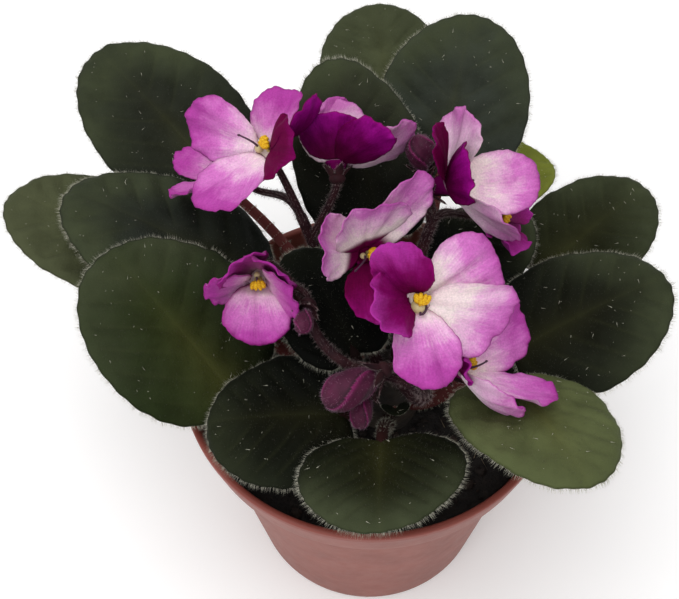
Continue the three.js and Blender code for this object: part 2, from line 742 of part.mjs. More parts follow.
const flowerGroup = new THREE.Group();
for (const flower of blooms) {
  const bloomGroup = new THREE.Group();
  bloomGroup.applyMatrix4(bloomMatrix(flower));
  bloomGroup.add(meshOf(corollaSolid(flower), "bloom_" + flower.name + "_corolla", corollaPink));
  bloomGroup.add(meshOf(antherSolid(flower), "bloom_" + flower.name + "_anthers", antherYellow));
  bloomGroup.add(meshOf(pistilSolid(flower), "bloom_" + flower.name + "_pistil", pistilPurple));
  flowerGroup.add(bloomGroup);
}
for (const stalk of stalks) {
  flowerGroup.add(meshOf(stalkSolid(stalk), stalk.name, stalkRed));
}
for (const bud of buds) {
  const mesh = meshOf(budSolid(bud), bud.name, budPurple);
  mesh.applyMatrix4(bloomMatrix(bud));
  flowerGroup.add(mesh);
}

plant.add(potGroup, leafGroup, flowerGroup);
export default plant;
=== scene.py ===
# Potted African violet: quilted leaves, ruffled two-coloured blooms, damp soil and a plain plastic pot.
# Sizes are millimetres in the part's own frame; meshes are made in metres.
import bpy
import numpy as np
from numpy import array, clip, concatenate, cos, cross, exp, linspace, pi, radians, sin, sqrt, stack, vstack
from mathutils import Matrix, Vector


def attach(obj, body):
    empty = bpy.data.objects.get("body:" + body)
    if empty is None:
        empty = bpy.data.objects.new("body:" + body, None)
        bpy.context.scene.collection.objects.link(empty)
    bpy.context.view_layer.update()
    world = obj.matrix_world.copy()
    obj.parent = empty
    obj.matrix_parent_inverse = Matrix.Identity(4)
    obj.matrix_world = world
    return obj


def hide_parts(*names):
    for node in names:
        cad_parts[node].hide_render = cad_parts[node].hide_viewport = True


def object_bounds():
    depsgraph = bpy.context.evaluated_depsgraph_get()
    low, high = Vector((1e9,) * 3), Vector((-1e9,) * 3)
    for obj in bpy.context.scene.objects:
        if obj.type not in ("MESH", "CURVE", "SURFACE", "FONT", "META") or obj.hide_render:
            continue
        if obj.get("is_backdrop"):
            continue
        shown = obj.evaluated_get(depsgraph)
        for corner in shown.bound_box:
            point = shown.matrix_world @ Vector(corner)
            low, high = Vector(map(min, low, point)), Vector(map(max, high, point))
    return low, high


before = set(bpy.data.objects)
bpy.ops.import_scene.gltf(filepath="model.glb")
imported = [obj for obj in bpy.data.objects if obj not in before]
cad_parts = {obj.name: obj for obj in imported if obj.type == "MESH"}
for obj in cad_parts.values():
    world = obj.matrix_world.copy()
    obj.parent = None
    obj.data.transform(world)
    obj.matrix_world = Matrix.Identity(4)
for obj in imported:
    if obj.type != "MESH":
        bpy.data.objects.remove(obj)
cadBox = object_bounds()
rng = np.random.default_rng(11)
fullTurn = 2 * pi
metres = 0.001    # per mm


def unit(vectors):
    # each vector divided by its own length
    return vectors / (np.linalg.norm(vectors, axis=-1, keepdims=True) + 1e-12)


def eased(low, high, x):
    # 0 below low, 1 above high, and the cubic 3t^2 - 2t^3 between
    t = clip((x - low) / (high - low), 0, 1)
    return t * t * (3 - 2 * t)


def lumps(points, size, seed):
    # a soft noise, about -1 to 1: twelve sine waves of random directions and like lengths, added up
    draw = np.random.default_rng(seed)
    ways = unit(draw.normal(size=(12, points.shape[-1]))) * (fullTurn / size) * draw.uniform(0.6, 1.6, (12, 1))
    return sin(points @ ways.T + draw.uniform(0, fullTurn, 12)).sum(-1) / 4.5


def evenTurns(count):
    # angles spread evenly round a full turn
    return linspace(0, fullTurn, count, endpoint=False)


def onCircle(radius, turn, z=0.0):
    # radius cos turn, radius sin turn, z
    return array([radius * cos(turn), radius * sin(turn), z])


def bezier(p0, p1, p2, p3, count):
    # the cubic Bezier curve of four points
    t = linspace(0, 1, count)[:, None]
    return (1 - t) ** 3 * p0 + 3 * (1 - t) ** 2 * t * p1 + 3 * (1 - t) * t * t * p2 + t ** 3 * p3


def smoothCurve(points, steps):
    # the Catmull-Rom curve: each stretch is a Hermite cubic with half the chord of its neighbours
    p = vstack([2 * points[0] - points[1], points, 2 * points[-1] - points[-2]])
    t = linspace(0, 1, steps, endpoint=False)[:, None]
    runs = [0.5 * (2 * b + (c - a) * t + (2 * a - 5 * b + 4 * c - d) * t ** 2 + (3 * b - a - 3 * c + d) * t ** 3)
            for a, b, c, d in zip(p[:-3], p[1:-2], p[2:-1], p[3:])]
    return vstack(runs + [points[-1:]])


def closed(grid, **values):
    # a grid of rows by turns, closed round every row and capped by a middle point at both ends
    rows, turns = grid.shape[:2]
    points = vstack([grid.reshape(-1, 3), grid[0].mean(0), grid[-1].mean(0)])
    i = np.arange(turns)
    j = (i + 1) % turns
    row = np.arange(rows - 1)[:, None] * turns
    quads = stack([row + i, row + j, row + turns + j, row + turns + i], -1).reshape(-1, 4)
    middle, last = np.full(turns, rows * turns), (rows - 1) * turns
    tris = vstack([stack([middle, j, i], -1), stack([middle + 1, last + i, last + j], -1)])
    for name, value in values.items():
        flat = np.broadcast_to(np.asarray(value, float), (rows, turns)).reshape(-1)
        values[name] = concatenate([flat, flat[:1], flat[-1:]])
    a, b, c, d = (points[quads[:, n]] for n in range(4))
    volume = (a * cross(b - d, c)).sum()
    step = -1 if volume < 0 else 1    # an inside-out grid is turned round
    return {"points": points, "quads": quads[:, ::step], "tris": tris[:, ::step], "values": values}


def together(surfaces):
    # several surfaces as one, with 0 for a value that one of them lacks
    names = sorted({name for s in surfaces for name in s["values"]})
    counts = [len(s["points"]) for s in surfaces]
    starts = np.cumsum([0] + counts)
    whole = {key: vstack([s[key] + n for s, n in zip(surfaces, starts)]) for key in ("quads", "tris")}
    whole["points"] = vstack([s["points"] for s in surfaces])
    whole["values"] = {name: concatenate([s["values"].get(name, np.zeros(c)) for s, c in zip(surfaces, counts)])
                       for name in names}
    return whole


def tubeGrid(path, radii, sides):
    # a circle carried along a path; its first radius is turned as little as possible from station to station
    tangents = unit(np.gradient(path, axis=0))
    across = np.empty_like(path)
    keep = cross(tangents[0], [0.31, 0.94, 0.12])
    for k, tangent in enumerate(tangents):
        keep = unit(keep - tangent * (keep @ tangent))
        across[k] = keep
    side = cross(tangents, across)
    turn = evenTurns(sides)[None, :, None]
    reach = np.broadcast_to(np.asarray(radii, float), (len(path),))[:, None, None]
    return path[:, None] + reach * (cos(turn) * across[:, None] + sin(turn) * side[:, None])


def latheGrid(profile, turns):
    # a profile of radius and height turned about Z
    turn = evenTurns(turns)
    radius, height = array(profile, float).T[..., None]
    return stack([radius * cos(turn), radius * sin(turn), height + 0 * turn], -1)


def ballGrid(radii, at, rows=12, turns=20):
    # an ellipsoid: rings of radius sin v at height cos v
    v = linspace(0, pi, rows + 2)[1:-1]
    return latheGrid(stack([sin(v), cos(v)], -1), turns) * array(radii) + array(at)


def hairs(roots, ways, kind, size=1.0):
    # a triangle round each root, and a tip that leans; kind is lengths (a range or a choice), width and paleness
    lengths, width, paleness = kind
    count = len(roots)
    lengths = (rng.uniform(*lengths, count) if len(lengths) == 2 else rng.choice(lengths, count))[:, None] * size
    ways = unit(ways)
    across = unit(cross(ways, rng.normal(size=(count, 3))))
    turn = evenTurns(3)[None, :, None]
    ring = cos(turn) * across[:, None] + sin(turn) * cross(ways, across)[:, None]
    bend = across * lengths * rng.uniform(0.05, 0.25, (count, 1))
    tip = roots + ways * lengths + bend * rng.uniform(-1, 1.5, (count, 1))
    points = concatenate([roots[:, None] + ring * width, tip[:, None]], 1)
    first = np.arange(count)[:, None] * 4
    tris = concatenate([first + face for face in ([0, 2, 1], [0, 1, 3], [1, 2, 3], [2, 0, 3])])
    return {"points": points.reshape(-1, 3), "quads": np.zeros((0, 4), int), "tris": tris,
            "values": {"hair": np.full(count * 4, paleness)}}


def meshOf(name, points, faces):
    # a mesh of points in millimetres
    mesh = bpy.data.meshes.new(name)
    mesh.from_pydata((array(points) * metres).tolist(), [], faces)
    return mesh


def facesOf(surface):
    # its faces as lists, quads first
    return surface["quads"].tolist() + surface["tris"].tolist()


def newObject(name, data):
    # an object in the scene that holds the data
    thing = bpy.data.objects.new(name, data)
    bpy.context.scene.collection.objects.link(thing)
    return thing


def makePiece(name, surface, finish, node, slot):
    # the surface as a mesh object that stands for a CAD node
    faces = facesOf(surface)
    mesh = meshOf(name, surface["points"], faces)
    mesh.polygons.foreach_set("use_smooth", np.ones(len(faces), bool))
    for key, value in surface["values"].items():
        mesh.attributes.new(key, "FLOAT", "POINT").data.foreach_set("value", value.astype(np.float32))
    mesh.materials.append(finish)
    piece = newObject(name, mesh)
    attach(piece, "root")
    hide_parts(node)
    return piece


def linear(colour):
    # sRGB 0..255 to linear light; anything but three numbers is left as it is
    if not isinstance(colour, tuple) or len(colour) != 3:
        return colour
    c = array(colour, float) / 255
    return tuple(np.where(c <= 0.04045, c / 12.92, ((c + 0.055) / 1.055) ** 2.4)) + (1.0,)


def addNode(tree, kind, inputs={}, **settings):
    # a node with each setting, and each input set or linked
    node = tree.nodes.new("ShaderNode" + kind)
    for key, value in settings.items():
        setattr(node, key, value)
    for key, value in inputs.items():
        if isinstance(value, bpy.types.NodeSocket):
            tree.links.new(value, node.inputs[key])
        else:
            node.inputs[key].default_value = value
    return node


def mixed(tree, factor, first, second):
    # first where factor is 0, second where it is 1
    return addNode(tree, "Mix", {0: factor, 6: linear(first), 7: linear(second)}, data_type="RGBA").outputs[2]


def maths(tree, operation, first, second=0.0):
    return addNode(tree, "Math", {0: first, 1: second}, operation=operation).outputs[0]


def valueOf(tree, name, strength=1.0):
    # a value of the surface times strength
    value = addNode(tree, "Attribute", attribute_name=name).outputs["Fac"]
    return value if strength == 1 else maths(tree, "MULTIPLY", value, strength)


def speckle(tree, scale, detail=3.0, rough=0.55):
    # noise on the piece's own coordinates; scale is per metre
    where = addNode(tree, "TexCoord").outputs["Object"]
    noise = addNode(tree, "TexNoise", {"Vector": where, "Scale": scale, "Detail": detail, "Roughness": rough})
    return noise.outputs["Fac"]


def rampOf(tree, factor, stops):
    # a colour ramp; each stop is a place and a colour
    ramp = addNode(tree, "ValToRGB", {"Fac": factor})
    elements = ramp.color_ramp.elements
    while len(elements) < len(stops):
        elements.new(0.5)
    for element, (place, colour) in zip(elements, stops):
        element.position = place
        element.color = linear(colour)
    return ramp.outputs["Color"]


def newFinish(name, gloss, constants={}):
    # a Principled material with constant sockets; gloss is roughness, specular level and sheen
    finish = bpy.data.materials.new(name)
    finish.use_nodes = True
    shader = finish.node_tree.nodes["Principled BSDF"]
    roughness, specular, sheen = gloss
    constants = {"Roughness": roughness, "Specular IOR Level": specular, "Sheen Weight": sheen, **constants}
    for key, value in constants.items():
        shader.inputs[key].default_value = value
    return finish, finish.node_tree, shader


def dressShader(tree, shader, colour, layers, height=None, strength=0.0, distance=0.0):
    # layers of attribute, tone and strength over the colour, and a bump from height
    for where, tone, amount in layers:
        colour = mixed(tree, valueOf(tree, where, amount), colour, tone)
    tree.links.new(colour, shader.inputs["Base Color"])
    if height:
        bump = addNode(tree, "Bump", {"Height": height, "Strength": strength, "Distance": distance})
        tree.links.new(bump.outputs["Normal"], shader.inputs["Normal"])


def mottledFinish(name, gloss, grain, stops, layers=(), bump=None, strength=0.0, distance=0.0):
    # a colour ramp over a fine noise, with layers and a bump from another noise
    finish, tree, shader = newFinish(name, gloss)
    colour = rampOf(tree, speckle(tree, *grain), stops)
    dressShader(tree, shader, colour, layers, bump and speckle(tree, *bump), strength, distance)
    return finish


def bladePoint(blade, r, phi, lift):
    # r is 1 at the margin, phi is 0 at the tip. The margin is an ellipse made egg-shaped by ovate, with waves, scallops
    # and a notch at the foot. The sheet below lift is cupped by x squared and bent on an arc from rise to rise - droop.
    length, width, phase = blade["length"], blade["width"], blade["phase"]
    away = pi - np.abs(phi)
    scallops = blade["tooth"] * cos(blade["teeth"] * phi + phase) * np.minimum(away / 0.8, 1)
    waves = blade["wobble"] * (sin(3 * phi + phase) + 0.6 * sin(2 * phi + 2.1 * phase))
    crest = 1 + waves + scallops * r ** 6
    foot = blade["notch"] * exp(-(away / 0.35) ** 2)
    point = blade.get("point", 0) * exp(-np.abs(phi / 0.45) ** 1.5)
    x = r * 0.5 * width * sin(phi) * (1 - blade["ovate"] * cos(phi)) * crest
    y = 0.5 * length - blade["notch"] + r * (0.5 * length * cos(phi) * crest + foot + point)
    h = blade["cup"] * (2 * x / width) ** 2 + lift
    start = radians(blade["rise"])
    bend = radians(blade["droop"]) / length or 1e-6
    slope = start - bend * y
    along = (sin(start) - sin(slope)) / bend
    up = (cos(slope) - cos(start)) / bend
    local = stack([x, along - h * sin(slope), up + h * cos(slope)], -1)
    return local @ bladeTurn(blade).T + blade["at"]


def bladeTurn(blade):
    # the blade's own roll about its first direction, then its heading
    rise, roll, turn = (radians(v) for v in (blade["rise"], blade["roll"], blade["heading"] - 90))
    rolled = array(Matrix.Rotation(roll, 3, (0, cos(rise), sin(rise))))
    return array(Matrix.Rotation(turn, 3, "Z")) @ rolled


def flatPlace(blade, r, phi):
    # a point on the unbent blade: x across from the midrib, y from the foot
    x = r * 0.5 * blade["width"] * sin(phi) * (1 - blade["ovate"] * cos(phi))
    return x, 0.5 * blade["length"] - blade["notch"] + r * 0.5 * blade["length"] * cos(phi)


def bladeRows(rings, turns):
    # r, phi and side over both faces: out on top, round the margin, and back in below
    r = linspace(0, 1, rings + 1)[1:] ** 0.8
    r = concatenate([r, r[-2::-1]])[:, None]
    side = np.repeat([1, 0, -1], [rings - 1, 1, rings - 1])[:, None]
    phi = linspace(-pi, pi, turns, endpoint=False)
    return r + 0 * phi, phi + 0 * r, side + 0 * phi


leafLook = {
    "rings": 24, "turns": 172,
    "thickness": 1.1, "keel": 0.8, "edgeCurl": 0.9,
    "teeth": 27, "toothDepth": 0.006,    # scallops round the margin
    "veinGap": 0.155, "veinSlant": 0.75,    # gap is a share of the length
    "quiltHeight": 0.36, "grooveDepth": 0.34, "midribDepth": 0.65,
    "petioleFoot": 2.0, "petioleTip": 1.35, "petioleSides": 14, "petioleRows": 20,
    "petioleUnder": ((0.82, 1.1), (0.6, 1.5), (0.4, 1.6)),    # r and depth below the sheet, past the blade's foot
}

# how many, lengths, width, paleness
leafHairs = {
    "fringe": (8, (0.9, 2.0), 0.03, 0.75),    # per mm of margin
    "down": (0.8, (0.35, 0.8), 0.03, 0.14),    # per square mm of face
    "dust": (42 / 1800, (0.3, 0.4, 0.6, 1.4), 0.08, 1.0),    # the same
    "petiole": (14, (0.5, 1.3), 0.04, 0.9),    # per mm of length
}

crown = {"x": 4, "y": -8, "radius": 9.5, "footDepth": 2, "lowestFoot": 77.5, "lowestSlope": 15, "slopePerMm": 3.7,
         "top": 92, "stalkRing": 5, "sides": 60,
         "profile": [(2, 58), (7.4, 58), (8.6, 66), (9.3, 74), (9.4, 82), (9.2, 88.5), (7.2, 91.6), (3, 92), (0.6, 92)]}

# the middle of the painted shade at the rosette's heart, and the distances over which it fades out
heart = {"x": 2, "y": 8, "near": 20, "far": 60}    # where the rosette is darkest


# shade and stemShade set the strength of the painted shade at the heart on blade and petiole; the last number sets the
# painted light on the outer blade
def leaf(name, at, heading, rise, droop, length, width, cup, roll, foot, phase, tone, foldDepth=1.0, footGlow=0.12,
         shade=0.9, stemShade=0.0, steeper=0, aside=(0, 0, 0), wear=1.0):
    # a leaf's numbers by name
    return dict(locals(), notch=4, ovate=0.1, wobble=0.012, tooth=leafLook["toothDepth"], teeth=leafLook["teeth"])


# each tone holds the leaf's green and its light; the near-black inner_left, inner_right and front_low are painted shade
leaves = [
    leaf("rear_left", (-42.6, 57.2, 93.6), 135, 27.5, 17.5, 62, 47.5, 2, -1, (128, 77.5), 1, (29, 32, 27),
         aside=(3.7, 3, 2.1)),
    leaf("far_left", (-61.8, 29.8, 91.6), 151, 13, 13, 53, 38, 1, 2, (161, 77.5), 2, (70, 74, 52), 1.3),
    leaf("left", (-30.2, 18.7, 95.6), 155, 22, 19, 65, 45.5, -2, 6, (138, 81), 3, (27, 31, 29), 2.0),
    leaf("front_left", (-36.3, -16.2, 94), 133, 26, 17.5, 57, 47.5, 2, 1, (195, 79), 4, (29, 38, 18), 0.9, 0.28, 0.75),
    leaf("front_low", (-6.2, -27.4, 102.7), 178, 2, 20.5, 41.5, 38.5, -1, 2.5, (225, 83), 5, (6, 8, 5), stemShade=0.9,
         wear=0.35),
    leaf("front", (1, -37, 108.2), -95, 25, 17.5, 32.7, 39.5, 0, 10, (270, 81), 0.5, (16, 19, 8), 0.8, 0.14, 0.7, 0.85),
    leaf("front_right", (32.3, -19.9, 106.8), -64, 24, 23, 42.5, 41.5, -1, -17, (325, 82), 1.5, (78, 85, 54), 0.7, 0.6,
         0.3, 0.5),
    leaf("right", (36, -7.2, 97.2), 22, 22.7, 20.5, 51, 41.5, -1, -1, (-8, 79), 2.5, (15, 17, 13), wear=0.85),
    leaf("right_rear", (48.8, 24.7, 89.8), 38, 15, 11, 47, 35, 1, 0, (20, 77.5), 3.5, (29, 32, 19), 1.2),
    leaf("rear_right", (20.7, 47.9, 104.4), 76, 33, 14, 56, 43.5, 0, -2, (71, 79.5), 5.5, (43, 48, 43), 1.2,
         steeper=0.75),
    leaf("rear", (10.4, 86.1, 96.2), 101, 18.5, 12.5, 44, 41, 0, -1.5, (97, 77.5), 0.8, (62, 67, 47), 1.2),
    leaf("rear_upper", (4.2, 25.3, 106), 108, 41, 12, 55.5, 38, -1, 5, (106, 83), 1.8, (36, 37, 31), 1.2),
    leaf("inner_left", (-4.6, -11, 104.9), 114, 13, 15.5, 40, 29, -1, 3, (170, 87), 2.8, (7, 8, 7), stemShade=0.95),
    leaf("inner_right", (20.6, 20.5, 96.6), 41, 9.5, 15.5, 37, 30, -1, -1, (40, 85), 3.8, (7, 8, 7), stemShade=0.95),
    leaf("old", (39.1, 55.5, 89.5), 51, 6, 20, 28.6, 25, 4, 7.5, (50, 77.5), 4.5, (112, 120, 48), 1.0, 0.6, 0.2),
    leaf("young", (5.6, -20.2, 93), -85, 40, 10, 8.5, 7.5, 1, 0, (282, 85), 4.8, (28, 36, 22)),
]


def veinField(blade, x, y):
    # distance to the nearest side vein, one of the lines y - slant |x| - bow x^2 = whole steps of the gap
    gap = blade["length"] * leafLook["veinGap"]
    s = (y - leafLook["veinSlant"] * np.abs(x) - 0.004 * x * x + 0.35 * gap) / gap
    return s, np.abs(s - np.round(s)) * gap * 0.8


def leafRelief(blade, r, x, y):
    # quilted pads between sunken veins, a grooved midrib, uneven folds, and a margin that curls down
    s, distance = veinField(blade, x, y)
    reach = eased(1, 7, np.abs(x)) * (1 - eased(0.8, 1, r))
    pads = leafLook["quiltHeight"] * -cos(fullTurn * s) * reach
    groove = leafLook["grooveDepth"] * exp(-(distance / 0.6) ** 2) * reach
    midrib = leafLook["midribDepth"] * exp(-np.abs(x) / 1.3) * (1 - 0.75 * y / blade["length"])
    flat = stack([x, y], -1) + blade["phase"] * 37
    uneven = (0.45 * lumps(flat, 13, 5) + 0.1 * lumps(flat, 3.2, 6)) * eased(0, 4, np.abs(x))
    curl = leafLook["edgeCurl"] * eased(0.86, 1, r) ** 2
    return ((pads - groove - midrib) * blade["foldDepth"] * 0.8 + uneven - curl) * min(1, blade["length"] / 40)


def leafLift(blade, r, phi, side):
    # relief plus half the thickness, rounded off at the margin, and a keel below the midrib
    x, y = flatPlace(blade, r, phi)
    size = min(1, blade["length"] / 30)
    half = 0.5 * leafLook["thickness"] * size * sqrt(clip(1 - r ** 10, 0, 1))
    keel = leafLook["keel"] * size * exp(-(x / 1.3) ** 2) * clip(1 - y / blade["length"], 0, 1)
    return leafRelief(blade, r, x, y) + side * half - np.where(side < 0, keel, 0)


def petiolePath(blade):
    # a Bezier from the crown's side that arrives along the midrib and runs on under it
    turn, height = blade["foot"]
    turn = radians(turn)
    slope = radians(crown["lowestSlope"] + (height - crown["lowestFoot"]) * crown["slopePerMm"])
    foot = onCircle(crown["radius"] - crown["footDepth"], turn, height) + [crown["x"], crown["y"], 0]
    base, keel = (bladePoint(blade, array(r), array(pi), -0.7) for r in (1.0, 0.4))
    last = unit(unit(keel - base) + [0, 0, blade["steeper"]])
    bow = np.linalg.norm(foot - base) * 0.34
    path = bezier(foot, foot + onCircle(cos(slope), turn, sin(slope)) * bow + blade["aside"],
                  base - last * bow + blade["aside"], base, leafLook["petioleRows"])
    under = [bladePoint(blade, array(r), array(pi), -drop) for r, drop in leafLook["petioleUnder"]]
    return vstack([path, under])


def facePoint(blade, r, phi):
    # a point of the upper face, and its normal from two small steps
    def at(r, phi):
        return bladePoint(blade, r, phi, leafLift(blade, r, phi, np.ones_like(r)))
    here = at(r, phi)
    normal = unit(cross(at(r, phi + 0.01) - here, at(r * 0.99, phi) - here))
    return here, normal * np.sign(normal[:, 2:3] + 1e-9)


def growHairs(blade, path, petiole):
    # margin fringe, short down and lying dust on the face, and hairs round the petiole
    length, width = blade["length"], blade["width"]
    area, size = length * width * 0.78, min(1, length / 30)
    many, *kind = leafHairs["fringe"]
    count = int(many * pi * 0.5 * (length + width))
    phi = rng.uniform(-pi, pi, count)
    margin, inside = np.ones(count), np.full(count, 0.95)
    roots, inner = (bladePoint(blade, r, phi, leafLift(blade, r, phi, 0 * r)) for r in (margin, inside))
    out = unit(roots - inner)
    grown = [hairs(roots - out * 0.12, out + rng.normal(0, 0.2, (count, 3)) + [0, 0, 0.15], kind, size)]
    many, *kind = leafHairs["down"]
    count = int(area * many)
    r, phi = sqrt(rng.uniform(0.001, 0.97, count)), rng.uniform(-pi, pi, count)
    roots, normal = facePoint(blade, r, phi)
    grown.append(hairs(roots, normal + rng.normal(0, 0.45, (count, 3)), kind, size))
    many, *kind = leafHairs["dust"]
    count = max(2, int(area * many))
    r, phi = sqrt(rng.uniform(0.05, 0.8, count)), rng.uniform(-pi, pi, count)
    roots, normal = facePoint(blade, r, phi)
    lying = unit(cross(normal, rng.normal(size=(count, 3)))) + normal * 0.12
    grown.append(hairs(roots + normal * 0.06, lying, kind))
    many, lengths, width, paleness = leafHairs["petiole"]
    rows = leafLook["petioleRows"]
    count = int(np.linalg.norm(np.diff(path[:rows], axis=0), axis=1).sum() * many)
    row, turn = rng.integers(2, rows - 1, count), rng.integers(0, leafLook["petioleSides"], count)
    out = petiole[row, turn] - path[row]
    roots = petiole[row, turn] - out * 0.06 + rng.normal(0, 0.1, (count, 3))
    # painted shade: the petiole's hairs are darker where the petiole carries painted shade
    kind = lengths, width, paleness * (1 - 0.6 * blade["stemShade"])
    return grown + [hairs(roots, unit(out) + rng.normal(0, 0.3, (count, 3)), kind, size)]


def leafSurface(blade):
    # the blade with its values, the petiole and the hairs
    r, phi, side = bladeRows(leafLook["rings"], leafLook["turns"])
    x, y = flatPlace(blade, r, phi)
    distance = veinField(blade, x, y)[1]
    reach = eased(0.5, 4, np.abs(x)) * (1 - eased(0.75, 0.98, r))
    length = blade["length"]
    sideVein = 0.55 * exp(-(distance / 0.55) ** 2) * reach
    vein = np.maximum(sideVein, exp(-np.abs(x) / 0.75) * (1 - 0.7 * y / length))
    glow = exp(-(y / (0.55 * length)) ** 2) * exp(-np.abs(x) / (0.13 * length))
    grid = bladePoint(blade, r, phi, leafLift(blade, r, phi, side))
    away = np.hypot(grid[..., 0] - heart["x"], grid[..., 1] - heart["y"])
    # painted shade: the blade darkens towards the rosette's heart
    shade = (1 - eased(heart["near"], heart["far"], away)) * blade["shade"]
    # painted light: the blade grows paler towards its outer end and margin, by a per-leaf amount
    outer = eased(0.2, 0.95, r) * eased(0.1, 0.75, y / length) * blade["wear"]
    sheet = closed(grid, vein=vein, shade=shade, outer=outer, under=side < 0, glow=glow)
    path = petiolePath(blade)
    radii = linspace(leafLook["petioleFoot"], leafLook["petioleTip"], len(path)) * min(1, length / 40 + 0.2)
    radii[-3:] *= [0.8, 0.5, 0.2]
    petiole = tubeGrid(path, radii, leafLook["petioleSides"])
    # painted shade on the petiole, as strong as stemShade
    stem = closed(petiole, stem=1.0, shade=blade["stemShade"])
    return together([sheet, stem] + growHairs(blade, path, petiole))


# the near-black colour is the painted shade at the rosette's heart, and the pale grey-green one the painted light on
# the outer blade
leafTones = {"hair": (206, 204, 186), "stem": (92, 42, 44), "stemPale": (108, 58, 54), "under": (92, 74, 66),
             "vein": (86, 90, 56), "glow": (98, 96, 40), "heart": (5, 6, 5), "outer": (60, 66, 46),
             "dark": 0.6, "pale": 1.35}


def leafFinish(blade):
    # green mottled by two noises, yellow-green at the foot, with pale veins, a paler underside and a red-brown petiole;
    # painted light pales it towards the outer margin, and painted shade darkens blade and petiole towards the heart
    finish, tree, shader = newFinish("hairy " + blade["name"].replace("_", " ") + " leaf", (0.75, 0.05, 0.02), {
        "Sheen Roughness": 0.35, "Sheen Tint": linear((200, 205, 190))})
    t = leafTones
    tone = array(linear(blade["tone"]))
    dark, pale = (tuple(tone[:3] * k) + (1.0,) for k in (t["dark"], t["pale"]))
    colour = rampOf(tree, speckle(tree, 130, 4), [(0.3, dark), (0.52, tuple(tone)), (0.75, pale)])
    colour = mixed(tree, maths(tree, "MULTIPLY", speckle(tree, 2600, 2, 0.6), 0.35), colour, pale)
    patchy = rampOf(tree, speckle(tree, 75, 3), [(0.3, (0.45, 0.45, 0.45, 1)), (0.65, (1, 1, 1, 1))])
    # painted light: in patches, the outer blade is lifted towards a paler grey-green
    worn = tuple(np.maximum(tone, linear(t["outer"])))
    colour = mixed(tree, maths(tree, "MULTIPLY", valueOf(tree, "outer"), patchy), colour, worn)
    stem = mixed(tree, speckle(tree, 300), t["stem"], t["stemPale"])
    # painted shade: the shade value darkens blade and petiole to the near-black heart colour
    layers = [("glow", t["glow"], blade["footGlow"]), ("vein", t["vein"], 0.09), ("under", t["under"], 0.75),
              ("stem", stem, 1), ("shade", t["heart"], 1), ("hair", t["hair"], 1)]
    dressShader(tree, shader, colour, layers, speckle(tree, 1500), 0.5, 0.0004)
    return finish


for blade in leaves:
    makePiece("violet_leaf_" + blade["name"], leafSurface(blade), leafFinish(blade), "leaf_" + blade["name"],
              "old_leaf" if blade["name"] == "old" else "leaf_green")
print("leaves", len(leaves))


petalLook = {
    "rings": 14, "turns": 104,
    "thickness": 0.6, "cup": 1.2, "ruffle": 0.42, "creaseDepth": 0.45, "teeth": 19, "toothDepth": 0.007,
    "reach": 1.6,    # from the throat's middle to a petal's foot
}


def bloom(name, at, heading, rise, spin, antherTurn, styleTurn, petals, dark=(1, 1, 0, 0, 0), blush=(0, 0, 0, 0, 0),
          throatDark=0.0, ovary=1.15, depth=4.6, foldDepth=0.75, margin=0.4, styleReach=5.2):
    # a bloom's numbers by name
    return dict(locals())


